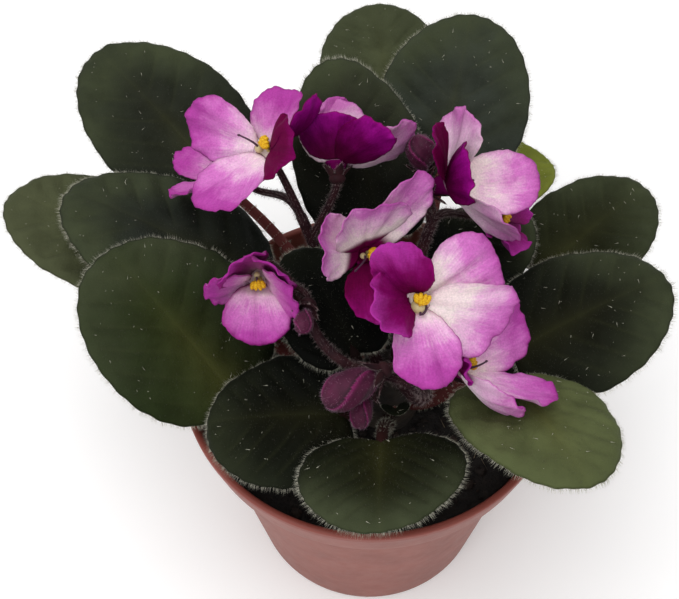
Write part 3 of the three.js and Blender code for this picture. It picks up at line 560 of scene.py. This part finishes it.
# a petal is heading round the throat, rise, roll, droop, length, width: upper right, upper left, right, lower, left
blooms = [
    bloom("front", (8.8, -23.5, 146), -76, 40, 53, 15, 200, [
        (62, 36, -37, 32, 16.5, 13.5), (120, 35, 28, -20, 14, 15), (-34, 9, 8, 22, 19, 18),
        (-82, 7, 21, 26, 22, 19.5), (209, 30, -11, -3, 18.5, 16.5)], blush=(0.1, 0.1, -0.15, -0.22, 0.1), ovary=1.6,
          styleReach=0),
    bloom("rear_left", (-26.9, 32.4, 135.5), -145, 70, -63, 130, 265, [
        (73, 56, 25, 36, 15.5, 17), (112, 14, -44, -59, 20.5, 14), (-8, 19, 7, 4, 22.5, 19),
        (-93, 10, -49, 0, 22, 18), (186, 3, -9, 0, 16.5, 14.5)], (1.7, 1.7, 0, 0, 0.2), (0, 0, 0.06, 0.08, 0.15)),
    bloom("rear_middle", (-8.4, 31.7, 131), 90, 33, 0, 210, 180, [
        (54.7, 76.8, 14.6, 31.4, 13, 17), (119.5, 10, -34.9, -11.3, 21.1, 13), (11.3, 81.9, 47, -27.8, 17, 19.7),
        (-64.5, 62.5, 24.8, -59.8, 18.3, 15), (184.5, 7.2, -25.8, -34.9, 22, 15.1)], (1.4, 1.4, 0, 0, 0),
          (0, 0, -0.3, -0.2, -0.2), depth=2.6, foldDepth=0.35),
    bloom("rear_right", (20, 24.4, 130), -7, 30, 23, 150, 270, [
        (58, 19, 2, 13, 16, 13.5), (102, 43, -8, -10, 15.5, 16), (5, 30, 60, 17, 18, 19.5),
        (-93, 45, 3, -27, 23.5, 17.5), (194, 30, -27, -21, 22.5, 17.5)],
        (1.7, 1.7, 0, 0, 0), (0, 0, -0.4, -0.25, -0.2)),
    bloom("middle", (-1.6, 6.3, 124), -60, 43, 179, 165, 20, [
        (72, 38, -2, -4, 19, 17), (100, 23, -4, 39, 17, 15.5), (-35, 14, 3, -46, 20, 16),
        (-94, 48, 1, -10, 20.5, 20.5), (219, 23, 19, -6, 24, 15)], (1.3, 1.3, 0, 0, 0), (-0.25,) * 5, 1.0, 0.8),
    bloom("front_right", (20.1, -25.5, 121.8), -16, 29, 2, -20, 320, [
        (57, 52, -1, 20, 11.5, 10), (123, 52, 3, 40, 10.5, 9.5), (-22, 33, 10, 4, 21, 18),
        (-96, 40, -35, -22, 23.5, 16.5), (205, 29, -22, -61, 18, 15.5)]),
    bloom("left", (-28.8, 2.5, 120.8), -90, 24, 5, 270, 270, [
        (48, 38, 0, -30, 13.5, 15), (117, 36, 8, -30, 13.5, 15), (-16, 54, 28, 10, 13.5, 16),
        (-97, 46.7, -14.3, 10.7, 16, 17), (190, 37, -44, 42, 12.8, 16.5)], (0.85, 0.85, 0.3, 0.05, 0.35),
          (0.1, 0.1, 0.1, 0.05, 0.1), 0.6, 0.8, foldDepth=0.3, margin=0.9, styleReach=1.5),
    bloom("far_left", (-39.2, 46.3, 111), -170, 52, 35, 270, 90, [
        (58, 40, 0, 25, 14, 13), (122, 40, 0, 25, 14, 13), (-16, 30, 0, 25, 15, 14),
        (-83, 43, 17, -11, 17.5, 15), (194, 22, 3, -6, 16.5, 10)], (1, 1, 0.2, 0.1, 0.2), (0.1,) * 5),
    bloom("far_right", (34.8, 28, 112), -37, 36, 26, 270, 90, [
        (58, 40, 0, 25, 11, 10), (122, 40, 0, 25, 11, 10), (-40, 30, 0, 20, 10, 10),
        (-81, 14, -2, 62, 12.5, 12), (192, 42, 4, -18, 12.5, 13)], (1, 1, 0.9, 0.9, 0.9), (0.2,) * 5),
]


def faceMatrix(flower):
    # columns: right, top and facing; top is turned about facing by spin
    heading, rise, spin = (radians(flower.get(key, 0)) for key in ("heading", "rise", "spin"))
    facing = onCircle(cos(rise), heading, sin(rise))
    top = array(Matrix.Rotation(spin, 3, facing.tolist())) @ onCircle(-sin(rise), heading, cos(rise))
    return stack([cross(top, facing), top, facing], 1)


def placed(surface, flower):
    # from a bloom's own frame to where it grows
    surface["points"] = surface["points"] @ faceMatrix(flower).T + flower["at"]
    return surface


def petalSurface(numbers, dark, blush, flower, seed):
    # a blade with folds that fan out from its foot as cosines of the ray's angle, and a margin frilled by sines
    heading, rise, roll, droop, length, width = numbers
    blade = dict(at=onCircle(petalLook["reach"], radians(heading)), heading=heading, rise=rise, roll=roll,
                 droop=droop, length=length, width=width, phase=heading / 30, notch=0, ovate=-0.16, wobble=0.02,
                 cup=petalLook["cup"], tooth=petalLook["toothDepth"], teeth=petalLook["teeth"])
    r, phi, side = bladeRows(petalLook["rings"], petalLook["turns"])
    x, y = flatPlace(blade, r, phi)
    t = y / length
    ray = np.arctan2(x, y + 0.2 * length) * 1.6
    frill = sin(8 * phi + seed * 2.3) + 0.6 * sin(13 * phi + seed * 3.1) + 0.3 * sin(21 * phi + seed)
    frill = petalLook["ruffle"] * frill * eased(0.6, 1, r) ** 2 * eased(0.3, 0.75, t)
    folds = cos(3.1 * ray + seed * 1.9) + 0.7 * cos(6.3 * ray + seed * 2.7) + 0.35 * cos(13 * ray + seed)
    folds = flower["foldDepth"] * folds * eased(0.08, 0.6, t)
    crease = petalLook["creaseDepth"] * exp(-(x / 1.1) ** 2) * (1 - t)
    half = 0.5 * petalLook["thickness"] * sqrt(clip(1 - r ** 12, 0, 1))
    ragged = 0.007 * sin(31 * phi + seed) + 0.018 * sin(5 * phi + seed * 1.3) + 0.008 * sin(11 * phi + seed * 4)
    grid = bladePoint(blade, r * (1 + ragged * r ** 5), phi, frill + folds - crease + side * half)
    dark = np.maximum(dark, flower["throatDark"] * (1 - eased(0.14, 0.26, t)))
    rim = eased(0.85, 1, r) * flower["margin"]
    return closed(grid, along=t, ray=ray / 3, rim=rim, dark=dark, blush=blush, back=side < 0)


def corollaSurface(flower, seed):
    # five petals, and the short tube that they grow from as a turned profile
    petals = [petalSurface(numbers, dark, blush, flower, seed + 1.7 * n)
              for n, (numbers, dark, blush) in enumerate(zip(flower["petals"], flower["dark"], flower["blush"]))]
    depth = flower["depth"]
    profile = [(0.6, -depth), (2.0, -depth), (2.2, -depth * 0.8), (2.5, -depth * 0.4), (3.0, -0.5), (3.0, -0.1),
               (2.6, 0.1), (2.1, -0.5), (1.5, -0.9), (0.4, -0.9)]
    outside = array([1, 1, 1, 1, 1, 1, 0.2, 0, 0, 0])[:, None]
    dark = np.maximum(outside, flower["throatDark"])
    tube = closed(latheGrid(profile, 28), along=0.05 + 0.3 * outside, back=outside, dark=dark)
    return placed(together(petals + [tube]), flower)


antherLook = {
    "lobes": ((-1.25, 1.15), (-0.45, 1.4), (0.45, 1.5), (1.25, 1.1)),    # place across, and half the length
    "halfWidth": 0.66, "halfHeight": 0.85, "forward": 0.9, "height": 2.6,
}


def antherSurface(flower):
    # two anthers of two long lobes each, on short filaments
    turn, forward = radians(flower["antherTurn"]), antherLook["forward"]
    out, across, up = onCircle(1, turn), onCircle(1, turn + pi / 2), array([0, 0, 1])
    parts = []
    for n, (place, long) in enumerate(antherLook["lobes"]):
        grid = ballGrid((antherLook["halfWidth"], long, antherLook["halfHeight"]), (0, 0, 0))
        grid = grid * (1 + 0.05 * lumps(grid, 0.7, 3 + n))[..., None]
        x, y, z = np.moveaxis(grid[..., None], 2, 0)
        lean = 0.28 * place
        grid = across * (x + y * lean) + out * (y - x * lean) + up * (z - 0.12 * place ** 2 + 0.1 * y ** 2)
        parts.append(closed(grid + forward * out + place * across + antherLook["height"] * up))
    for place in (-0.9, 0.9):
        middle = forward * out
        path = linspace(middle + place * 0.4 * across - 0.9 * up, middle + place * across + 2.4 * up, 6)
        parts.append(closed(tubeGrid(path, linspace(0.6, 0.45, 6), 10), stem=1.0))
    return placed(together(parts), flower)


def pistilSurface(flower):
    # a downy ovary, and a thin style that leaves its top and bends towards styleTurn
    size, reach, lean = flower["ovary"], flower["styleReach"], radians(flower["styleTurn"])
    base = onCircle(-1.1, radians(flower["antherTurn"]))
    ovary = closed(ballGrid((size, size, size * 1.1), base + [0, 0, 0.9]), stem=0.0)
    root, aim = base + [0, 0, 2.1], onCircle(1, lean)
    if reach:
        tip = root + aim * reach + [0, 0, 0.5 * reach]
        path = bezier(root, root + [0, 0, 0.42 * reach] + aim * 0.4, tip - aim * 0.42 * reach, tip, 16)
    else:    # curled round the ovary
        ring = onCircle(size * 1.05, lean + linspace(0, 4, 16), linspace(2.2, 1.0, 16))
        path = vstack([root, (base + ring.T)[1:]])
    radii = linspace(0.3, 0.2, 16)
    radii[-2:] = [0.34, 0.22]
    return placed(together([ovary, closed(tubeGrid(path, radii, 8), stem=1.0)]), flower)


# colours from the throat outwards, on faces and backs; the dark backs are deeper: partly own colour, partly painted
# shade
petalTones = {
    "pale": [(0.08, (240, 222, 222)), (0.28, (228, 184, 214)), (0.55, (204, 118, 190)), (0.92, (172, 68, 156))],
    "dark": [(0.08, (92, 2, 54)), (0.5, (122, 8, 90)), (0.95, (160, 46, 142))],
    "paleBack": [(0.2, (226, 204, 216)), (0.9, (186, 108, 170))],
    "darkBack": [(0.15, (62, 0, 36)), (0.55, (98, 0, 76)), (1.0, (150, 14, 134))],
    "paleRim": (140, 36, 118),
}


def petalFinish():
    # pale petals fade from a cream throat to lilac, dark ones to magenta, and both are streaked outwards
    finish, tree, shader = newFinish("soft petal", (0.6, 0.03, 0), {
        "Subsurface Weight": 0.12, "Subsurface Radius": (0.6, 0.2, 0.5), "Subsurface Scale": 0.0008})
    along, rim, dark = (valueOf(tree, name) for name in ("along", "rim", "dark"))
    where = addNode(tree, "CombineXYZ", {"X": valueOf(tree, "ray"), "Y": maths(tree, "MULTIPLY", along, 0.06)})
    streaks = addNode(tree, "TexNoise", {"Vector": where.outputs[0], "Scale": 60.0, "Detail": 3.0}).outputs["Fac"]
    shift = maths(tree, "ADD", maths(tree, "MULTIPLY", streaks, 0.3),
                  maths(tree, "MULTIPLY", speckle(tree, 190, 4, 0.6), 0.7))
    place = maths(tree, "ADD", along, maths(tree, "SUBTRACT", shift, 0.5))
    pale = rampOf(tree, maths(tree, "ADD", place, valueOf(tree, "blush")), petalTones["pale"])
    pale = mixed(tree, rim, pale, petalTones["paleRim"])
    deeper = maths(tree, "MAXIMUM", maths(tree, "SUBTRACT", dark, 1.0), 0.0)
    deep = rampOf(tree, maths(tree, "SUBTRACT", place, deeper), petalTones["dark"])
    darkness = addNode(tree, "Clamp", {"Value": dark}).outputs[0]
    # the backs: the dark ones deeper, partly their own colour and partly painted shade
    behind = mixed(tree, darkness, *(rampOf(tree, place, petalTones[key]) for key in ("paleBack", "darkBack")))
    colour = mixed(tree, valueOf(tree, "back", 0.9), mixed(tree, darkness, pale, deep), behind)
    grain = addNode(tree, "MapRange", {"Value": speckle(tree, 2200), "From Min": 0.3, "From Max": 0.7,
                                       "To Min": 0.86, "To Max": 1.12}).outputs[0]
    colour = addNode(tree, "HueSaturation", {"Color": colour, "Value": grain}).outputs[0]
    dressShader(tree, shader, colour, [], streaks, 0.35, 0.0003)
    return finish


softPetal = petalFinish()
pollenYellow = mottledFinish(
    "pollen yellow", (0.65, 0.3, 0), (3500, 2),
    [(0.35, (188, 128, 4)), (0.62, (232, 190, 24))], [("stem", (214, 196, 120), 1)], (3500, 2), 0.6, 0.0002)
downyPistil = mottledFinish(
    "pistil", (0.6, 0.5, 0.05), (1500,), [(0, (206, 186, 146)), (1, (170, 156, 100))],
    [("stem", (58, 10, 46), 1)])
for index, flower in enumerate(blooms):
    name = flower["name"]
    for kind, surface, finish, slot in (("corolla", corollaSurface(flower, index), softPetal, "petals"),
                                        ("anthers", antherSurface(flower), pollenYellow, "anthers"),
                                        ("pistil", pistilSurface(flower), downyPistil, "pistil")):
        makePiece("violet_" + kind + "_" + name, surface, finish, "bloom_" + name + "_" + kind, slot)
print("blooms", len(blooms))


stalkLook = {
    "sides": 12, "branchSides": 10, "endRadius": 0.9,
    "hairsPerMm": 26, "hairs": ((0.6, 1.5), 0.028, 0.7),    # lengths, width, paleness
    "sepalLength": 5.6, "sepalWidth": 2.2,
    "sepalHairs": 46, "sepalHair": ((0.4, 1.0), 0.035, 0.9),
}

buds = [dict(zip(("name", "at", "heading", "rise", "length", "width"), numbers)) for numbers in (
    ("bud_front", (-6.2, -26.4, 114), 205, -12, 15, 9.5),
    ("bud_front_low", (-3.4, -28.2, 105.5), -110, -30, 8.5, 5.5),
    ("bud_rear", (13.8, 37, 127.8), 110, 60, 10, 8),
    ("bud_left", (-17.2, -10, 118.9), -100, 5, 7, 5),
)]


def flowerStalk(name, foot, radius, path, carries, early=None):
    # foot is the direction of its foot from the crown's middle; an early branch leaves below the fork
    return dict(locals())


stalks = [
    flowerStalk("stalk_rear_left", 130, 1.5, [(-6, 8, 97.5), (-13, 21.1, 102.2), (-18.3, 26.7, 115.2)],
                ["rear_left", "rear_middle", "far_left"], "rear_middle"),
    flowerStalk("stalk_rear_right", 60, 1.5, [(10, 8, 100), (13.5, 17, 110), (16, 21, 117)],
                ["rear_right", "far_right", "bud_rear"]),
    flowerStalk("stalk_front", 310, 1.8, [(11, -19, 96), (12.5, -22, 102), (12.4, -23.7, 106)],
                ["front", "front_right", "bud_front", "bud_front_low"]),
    flowerStalk("stalk_left", 240, 1.3, [(-1, -15.5, 103), (-7, -16, 108.5), (-13.5, -10.2, 111), (-19.5, 1.5, 116.5)],
                ["left", "bud_left"]),
    flowerStalk("stalk_middle", 10, 1.3, [(8, -3, 99), (6, 6, 108)], ["middle"]),
]


def hairyTube(path, radii, sides):
    # a tube with fine hairs all round it
    grid = tubeGrid(path, radii, sides)
    count = int(np.linalg.norm(np.diff(path, axis=0), axis=1).sum() * stalkLook["hairsPerMm"])
    row, turn = rng.integers(0, len(path), count), rng.integers(0, sides, count)
    step = (np.roll(path, -1, 0) - path)[np.minimum(row, len(path) - 2)] * rng.uniform(-0.5, 0.5, (count, 1))
    out = grid[row, turn] - path[row]
    way = unit(out) + rng.normal(0, 0.3, (count, 3))
    return [closed(grid), hairs(grid[row, turn] - out * 0.05 + step, way, stalkLook["hairs"])]


def sepalSurface(turn, length, tilt, z):
    # a pointed, slightly curled blade from the calyx outwards, with hairs along its margin
    blade = dict(at=onCircle(1.5, turn, z), heading=np.degrees(turn), rise=np.degrees(tilt), roll=0, droop=18,
                 length=length, width=stalkLook["sepalWidth"], phase=turn, notch=0, ovate=0.35, wobble=0.0, cup=0.25,
                 tooth=0, teeth=0, point=0.7)
    r, phi, side = bladeRows(6, 28)
    sheet = closed(bladePoint(blade, r, phi, side * 0.32 * sqrt(clip(1 - r ** 6, 0, 1))))
    count = stalkLook["sepalHairs"]
    phi = rng.uniform(-2.6, 2.6, count)
    roots, inner = (bladePoint(blade, np.full(count, r), phi, 0) for r in (0.96, 0.5))
    way = unit(roots - inner) + rng.normal(0, 0.35, (count, 3))
    return [sheet, hairs(roots, way, stalkLook["sepalHair"])]


def calyxSurface(flower, depth, length, tilt):
    # a small cup with five sepals, behind a bloom or bud
    parts = [closed(ballGrid((2.2, 2.2, 1.6), (0, 0, -depth - 1.95), 8, 18))]
    for i in range(5):
        parts += sepalSurface(radians(36 + i * 72), length, tilt, -depth - 1.5)
    return placed(together(parts), flower)


def stalkSurface(stalk):
    # the stem from the crown to its fork, then a Bezier branch and a calyx for every bloom and bud
    ring = onCircle(crown["stalkRing"], radians(stalk["foot"]))
    foot = ring + [crown["x"], crown["y"], crown["top"] - 1.5]
    main = smoothCurve(vstack([foot, foot + [0, 0, 2.5], stalk["path"]]), 6)
    parts = hairyTube(main, linspace(stalk["radius"] * 1.1, stalk["radius"], len(main)), stalkLook["sides"])
    for flower in blooms + buds:
        if flower["name"] not in stalk["carries"]:
            continue
        depth = flower.get("depth")
        sepals = (min(stalkLook["sepalLength"], 1.3 * depth), 1.05) if depth else (flower["width"] * 0.5, 1.0)
        depth = depth or flower["length"] / 2
        facing = faceMatrix(flower)[:, 2]
        end = flower["at"] - facing * (depth + 2.7)
        early = flower["name"] == stalk["early"]
        fork = main[-4] if early else main[-1]
        away = unit(end - fork) if early else unit(main[-1] - main[-3])
        start = fork - away * 0.6
        bow = np.linalg.norm(end - start) * (0.15 if early else 0.4)
        path = bezier(start, start + away * bow, end - facing * bow, end, 16)
        radii = linspace(stalk["radius"] * 0.8, stalkLook["endRadius"], 16)
        parts += hairyTube(path, radii, stalkLook["branchSides"])
        parts.append(calyxSurface(flower, depth, *sepals))
    return together(parts)


budLook = {"rows": 36, "turns": 96, "petals": 3, "twist": 0.16, "hairsPerArea": 3.4,
           "hairs": ((0.35, 1.0), 0.03, 0.7)}


def budSurface(bud):
    # an egg of petals wound over one another: the radius grows towards each free edge, and the edges twist
    rows, turns = budLook["rows"], budLook["turns"]
    v = linspace(0, pi, rows + 2)[1:-1][:, None]
    turn = evenTurns(turns)[None, :]
    wound = budLook["petals"] * (turn / fullTurn + budLook["twist"] * (1 - cos(v))) % 1
    fold = 0.86 + 0.14 * wound ** 0.6 + 0.04 * cos(fullTurn * 2 * wound)
    radius = 0.5 * bud["width"] * sin(v) * fold * (1 - 0.17 * cos(v))
    z = -0.5 * bud["length"] * cos(v) + 0 * turn
    grid = stack([radius * cos(turn), radius * sin(turn), z], -1)
    # edge: each petal's free margin, lighter magenta, partly its own colour and partly painted highlight; crease: the
    # strip under it, painted shade
    body = closed(grid, edge=eased(0.8, 1, wound), crease=1 - eased(0, 0.12, wound))
    edgeRow, edgeTurn = np.nonzero((wound > 0.9) & (sin(v) > 0.15))
    count = int(bud["length"] * bud["width"] * budLook["hairsPerArea"])
    pick = rng.integers(0, len(edgeRow), count)
    row = concatenate([edgeRow[pick], rng.integers(2, rows - 3, count)])
    column = concatenate([edgeTurn[pick], rng.integers(0, turns, count)])
    roots = grid[row, column]
    way = unit(roots * [1, 1, 0.4]) + [0, 0, 0.4] + rng.normal(0, 0.25, (2 * count, 3))
    return placed(together([body, hairs(roots * 0.98, way, budLook["hairs"])]), bud)


redStalk = mottledFinish(
    "red-brown stalk", (0.6, 0.1, 0.02), (220,),
    [(0.3, (30, 12, 18)), (0.6, (50, 24, 28)), (0.85, (56, 38, 30))], [("hair", (176, 158, 156), 1)],
    (1800,), 0.4, 0.0003)
# bud purple with lighter margins, partly own colour and partly painted highlight, painted shade under each margin, and
# pale hairs
budPurple = mottledFinish(
    "bud purple", (0.6, 0.2, 0.06), (260,),
    [(0.3, (56, 10, 36)), (0.75, (80, 22, 54))],
    [("edge", (122, 22, 86), 1), ("crease", (30, 6, 20), 1), ("hair", (186, 150, 172), 1)], (1500,), 0.4, 0.0003)
for stalk in stalks:
    makePiece("violet_" + stalk["name"], stalkSurface(stalk), redStalk, stalk["name"], "flower_stalk")
for bud in buds:
    makePiece("violet_" + bud["name"], budSurface(bud), budPurple, bud["name"], "bud_petals")
print("stalks", len(stalks), "buds", len(buds))


soilLook = {
    "top": 75, "edge": 48.2, "rings": 60, "turns": 150, "lumpHeight": 0.9,
    "block": [(48.2, 74), (44.7, 71.8), (40, 35), (35, 2.6), (2, 2.6)],
    "crumbs": 620, "crumbSize": (0.4, 1.5),
    "fibres": (160, (1.5, 5), 0.12, 0.6),     # how many, lengths, width, paleness
    "flecks": (26, (0.4, 0.8), 0.3, 1.0),
}

potLook = {
    # radius, height and rounding of each corner, up the outside and down the inside
    "profile": [(2, 0, 0), (36.5, 0, 1.0), (46.8, 72.2, 0.5), (50.3, 72.2, 0.7), (52.35, 81.8, 0.3), (52.5, 84, 0.85),
                (50.6, 84, 0.85), (48.7, 74.2, 0.4), (45.2, 72.2, 0.4), (34.9, 2, 0.8), (2, 2, 0)],
    "turns": 144, "lipHeight": 81.5,
    "holes": 8, "holeRing": 25, "holePin": [(3.5, -3), (3.5, 6)],
}


def crownSurface():
    # a knobbly stub: a turned profile swollen by leaf scars, which are bumps on a slow spiral
    runs = zip(crown["profile"][:-1], crown["profile"][1:])
    grid = latheGrid(vstack([linspace(a, b, 6, endpoint=False) for a, b in runs]), crown["sides"])
    turn = np.arctan2(grid[..., 1], grid[..., 0])
    scars = cos(5 * turn + grid[..., 2] * 0.5) * cos(grid[..., 2] * 1.1)
    out = grid * [1, 1, 0]
    swelling = (0.35 * scars - 0.4) * (np.linalg.norm(out, axis=-1) > 1)
    return closed(grid + unit(out) * swelling[..., None] + [crown["x"], crown["y"], 0])


def soilHeight(x, y):
    # crumbly ground: three sizes of noise, ridged so that it breaks into clods
    flat = stack([x, y], -1)
    clods = np.abs(lumps(flat, 9, 21)) + 0.5 * np.abs(lumps(flat, 4, 22)) + 0.25 * lumps(flat, 1.8, 23)
    return soilLook["top"] + soilLook["lumpHeight"] * (clods - 0.7)


def strewn(count, reach, lift):
    # random places spread evenly over the soil out to reach, and lift above it
    away, turn = reach * sqrt(rng.uniform(0, 1, count)), rng.uniform(0, fullTurn, count)
    x, y = away * cos(turn), away * sin(turn)
    return stack([x, y, soilHeight(x, y) + lift], -1)


def soilSurface():
    # a lumpy disc over a plain block, with crumbs and fibres strewn on it
    r = linspace(0, soilLook["edge"], soilLook["rings"] + 1)[1:, None]
    turn = evenTurns(soilLook["turns"])
    x, y = r * cos(turn), r * sin(turn)
    top = stack([x, y, soilHeight(x, y)], -1)
    parts = [closed(concatenate([top, latheGrid(soilLook["block"], soilLook["turns"])]))]
    count = soilLook["crumbs"]
    size = rng.uniform(*soilLook["crumbSize"], count) ** 1.2
    places = strewn(count, 47, 0.3 * size)[:, None]
    ball = closed(ballGrid((1, 1, 1), (0, 0, 0), 4, 8))
    corners = len(ball["points"])
    points = ball["points"] * rng.uniform(0.6, 1.2, (count, 1, 3)) * size[:, None, None]
    points = points * (1 + 0.25 * rng.normal(size=(count, corners, 1))) + places
    first = (np.arange(count) * corners)[:, None, None]
    parts.append({"points": points.reshape(-1, 3), "quads": (first + ball["quads"]).reshape(-1, 4),
                  "tris": (first + ball["tris"]).reshape(-1, 3),
                  "values": {"crumb": np.repeat(rng.uniform(0, 1, count), corners)}})
    for count, *kind in (soilLook["fibres"], soilLook["flecks"]):
        places = strewn(count, 46, 0.5)
        parts.append(hairs(places, rng.normal(size=(count, 3)) * [1, 1, 0.15], kind))
    return together(parts)


def roundedCorner(before, corner, after, radius, count=5):
    # the corner of a profile as a quadratic curve that starts and ends a radius away
    a, b = (corner + unit(p - corner) * radius for p in (before, after))
    t = linspace(0, 1, count)[:, None]
    return (1 - t) ** 2 * a + 2 * (1 - t) * t * corner + t * t * b


def potSurface():
    # the profile turned about Z, with its corners rounded
    places, rounding = np.split(array(potLook["profile"]), [2], axis=1)
    rows = [places[:1]]
    for n in range(1, len(places) - 1):
        arc = roundedCorner(*places[n - 1:n + 2], rounding[n])
        rows += [linspace(rows[-1][-1], arc[0], 7)[1:-1], arc]
    return closed(latheGrid(vstack(rows + [places[-1:]]), potLook["turns"]))


def drillDrainHoles(pot):
    # cuts the drain holes through the floor, then applies the cut
    pin = latheGrid(potLook["holePin"], 28)
    pins = together([closed(pin + onCircle(potLook["holeRing"], turn)) for turn in evenTurns(potLook["holes"])])
    cutter = newObject("drain pins", meshOf("drain pins", pins["points"], facesOf(pins)))
    cut = pot.modifiers.new("drain holes", "BOOLEAN")
    cut.object, cut.operation, cut.solver = cutter, "DIFFERENCE", "EXACT"
    bpy.context.view_layer.update()
    done = bpy.data.meshes.new_from_object(pot.evaluated_get(bpy.context.evaluated_depsgraph_get()))
    pot.modifiers.clear()
    pot.data = done
    bpy.data.objects.remove(cutter)


def potFinish():
    # moulded plastic, slightly mottled, with a darker lip
    finish, tree, shader = newFinish("terracotta plastic", (0.5, 0.35, 0))
    where = addNode(tree, "TexCoord").outputs["Object"]
    height = addNode(tree, "SeparateXYZ", {"Vector": where}).outputs["Z"]
    body = rampOf(tree, speckle(tree, 90, 5), [(0.3, (122, 64, 53)), (0.7, (136, 75, 64))])
    lip = maths(tree, "MULTIPLY", maths(tree, "SUBTRACT", height, potLook["lipHeight"] * metres), 1200)
    colour = mixed(tree, addNode(tree, "Clamp", {"Value": lip}).outputs[0], body, (128, 62, 52))
    rough = addNode(tree, "MapRange", {"Value": speckle(tree, 300, 4), "To Min": 0.42, "To Max": 0.6}).outputs[0]
    tree.links.new(rough, shader.inputs["Roughness"])
    dressShader(tree, shader, colour, [], speckle(tree, 1400), 0.12, 0.0003)
    return finish


crownBrown = mottledFinish("crown", (0.85, 0.5, 0), (240, 4), [(0.3, (20, 15, 12)), (0.7, (46, 36, 25))], [],
                           (900,), 0.6, 0.0006)
dampMix = mottledFinish(
    "damp potting mix", (0.8, 0.35, 0), (420, 5, 0.65),
    [(0.3, (8, 6, 5)), (0.6, (24, 19, 16)), (0.85, (52, 42, 36))],
    [("crumb", (58, 40, 30), 0.4), ("hair", (150, 132, 108), 1)], (1300, 4), 0.9, 0.0008)
makePiece("violet_crown", crownSurface(), crownBrown, "crown", "crown_stem")
makePiece("potting_mix_top", soilSurface(), dampMix, "soil", "potting_mix")
drillDrainHoles(makePiece("plastic_pot", potSurface(), potFinish(), "pot", "pot_plastic"))
print("pot and soil")


studio = {
    "floor": (250, 250, 250), "floorReach": 3000, "floorDrop": 0.3, "world": 0.68,
    "focal": 1100, "frameWidth": 679, "sensor": 36,    # the first two in pixels
    "elevation": 54.7, "roll": -1.1, "distance": 317, "target": (-8.4, 21.1, 84.0),
    "lampTarget": (0, 0, 0.09),
    "lamps": [("overhead box", (-0.15, -0.1, 1.1), 0.8, 5.4), ("front box", (-0.5, -0.9, 0.7), 0.7, 2.8)],
}


def makeFloor():
    # a pale sheet just under the pot
    corners = studio["floorReach"] * array([(-1, -1, 0), (1, -1, 0), (1, 1, 0), (-1, 1, 0)])
    mesh = meshOf("studio floor", corners, [(0, 1, 2, 3)])
    mesh.materials.append(newFinish("floor white", (0.9, 0.5, 0), {
        "Base Color": linear(studio["floor"]), "Emission Color": (1, 1, 1, 1), "Emission Strength": 0.1})[0])
    floor = newObject("studio floor", mesh)
    floor.location.z = -studio["floorDrop"] * metres
    floor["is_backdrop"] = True


def looking(place, target, roll=0.0):
    # -Z points from place to target and X is level, turned about the view by roll
    facing = (Vector(target) - Vector(place)).to_track_quat("-Z", "Y").to_matrix().to_4x4()
    return Matrix.Translation(place) @ facing @ Matrix.Rotation(radians(roll), 4, "Z")


def makeLamps():
    # square soft boxes that face the plant
    for name, place, size, power in studio["lamps"]:
        light = bpy.data.lights.new(name, "AREA")
        light.shape, light.size, light.energy = "SQUARE", size, power
        newObject(name, light).matrix_world = looking(place, studio["lampTarget"])


def makeCamera():
    # the camera stands at distance from its target, raised by elevation
    target = array(studio["target"]) * metres
    rise = radians(studio["elevation"])
    place = target + array([0, -cos(rise), sin(rise)]) * studio["distance"] * metres
    lens = bpy.data.cameras.new("studio camera")
    lens.sensor_fit, lens.sensor_width = "HORIZONTAL", studio["sensor"]
    lens.lens = studio["sensor"] * studio["focal"] / studio["frameWidth"]
    lens.clip_start = 0.01
    camera = newObject("studio camera", lens)
    camera.matrix_world = looking(place, target, studio["roll"])
    bpy.context.scene.camera = camera


def makeWorld():
    world = bpy.data.worlds.new("studio")
    world.use_nodes = True
    background = world.node_tree.nodes["Background"].inputs
    background["Color"].default_value = (1, 1, 1, 1)
    background["Strength"].default_value = studio["world"]
    bpy.context.scene.world = world
    bpy.context.scene.view_settings.view_transform = "Standard"


makeFloor()
makeWorld()
makeLamps()
makeCamera()
print("studio")

low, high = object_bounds()
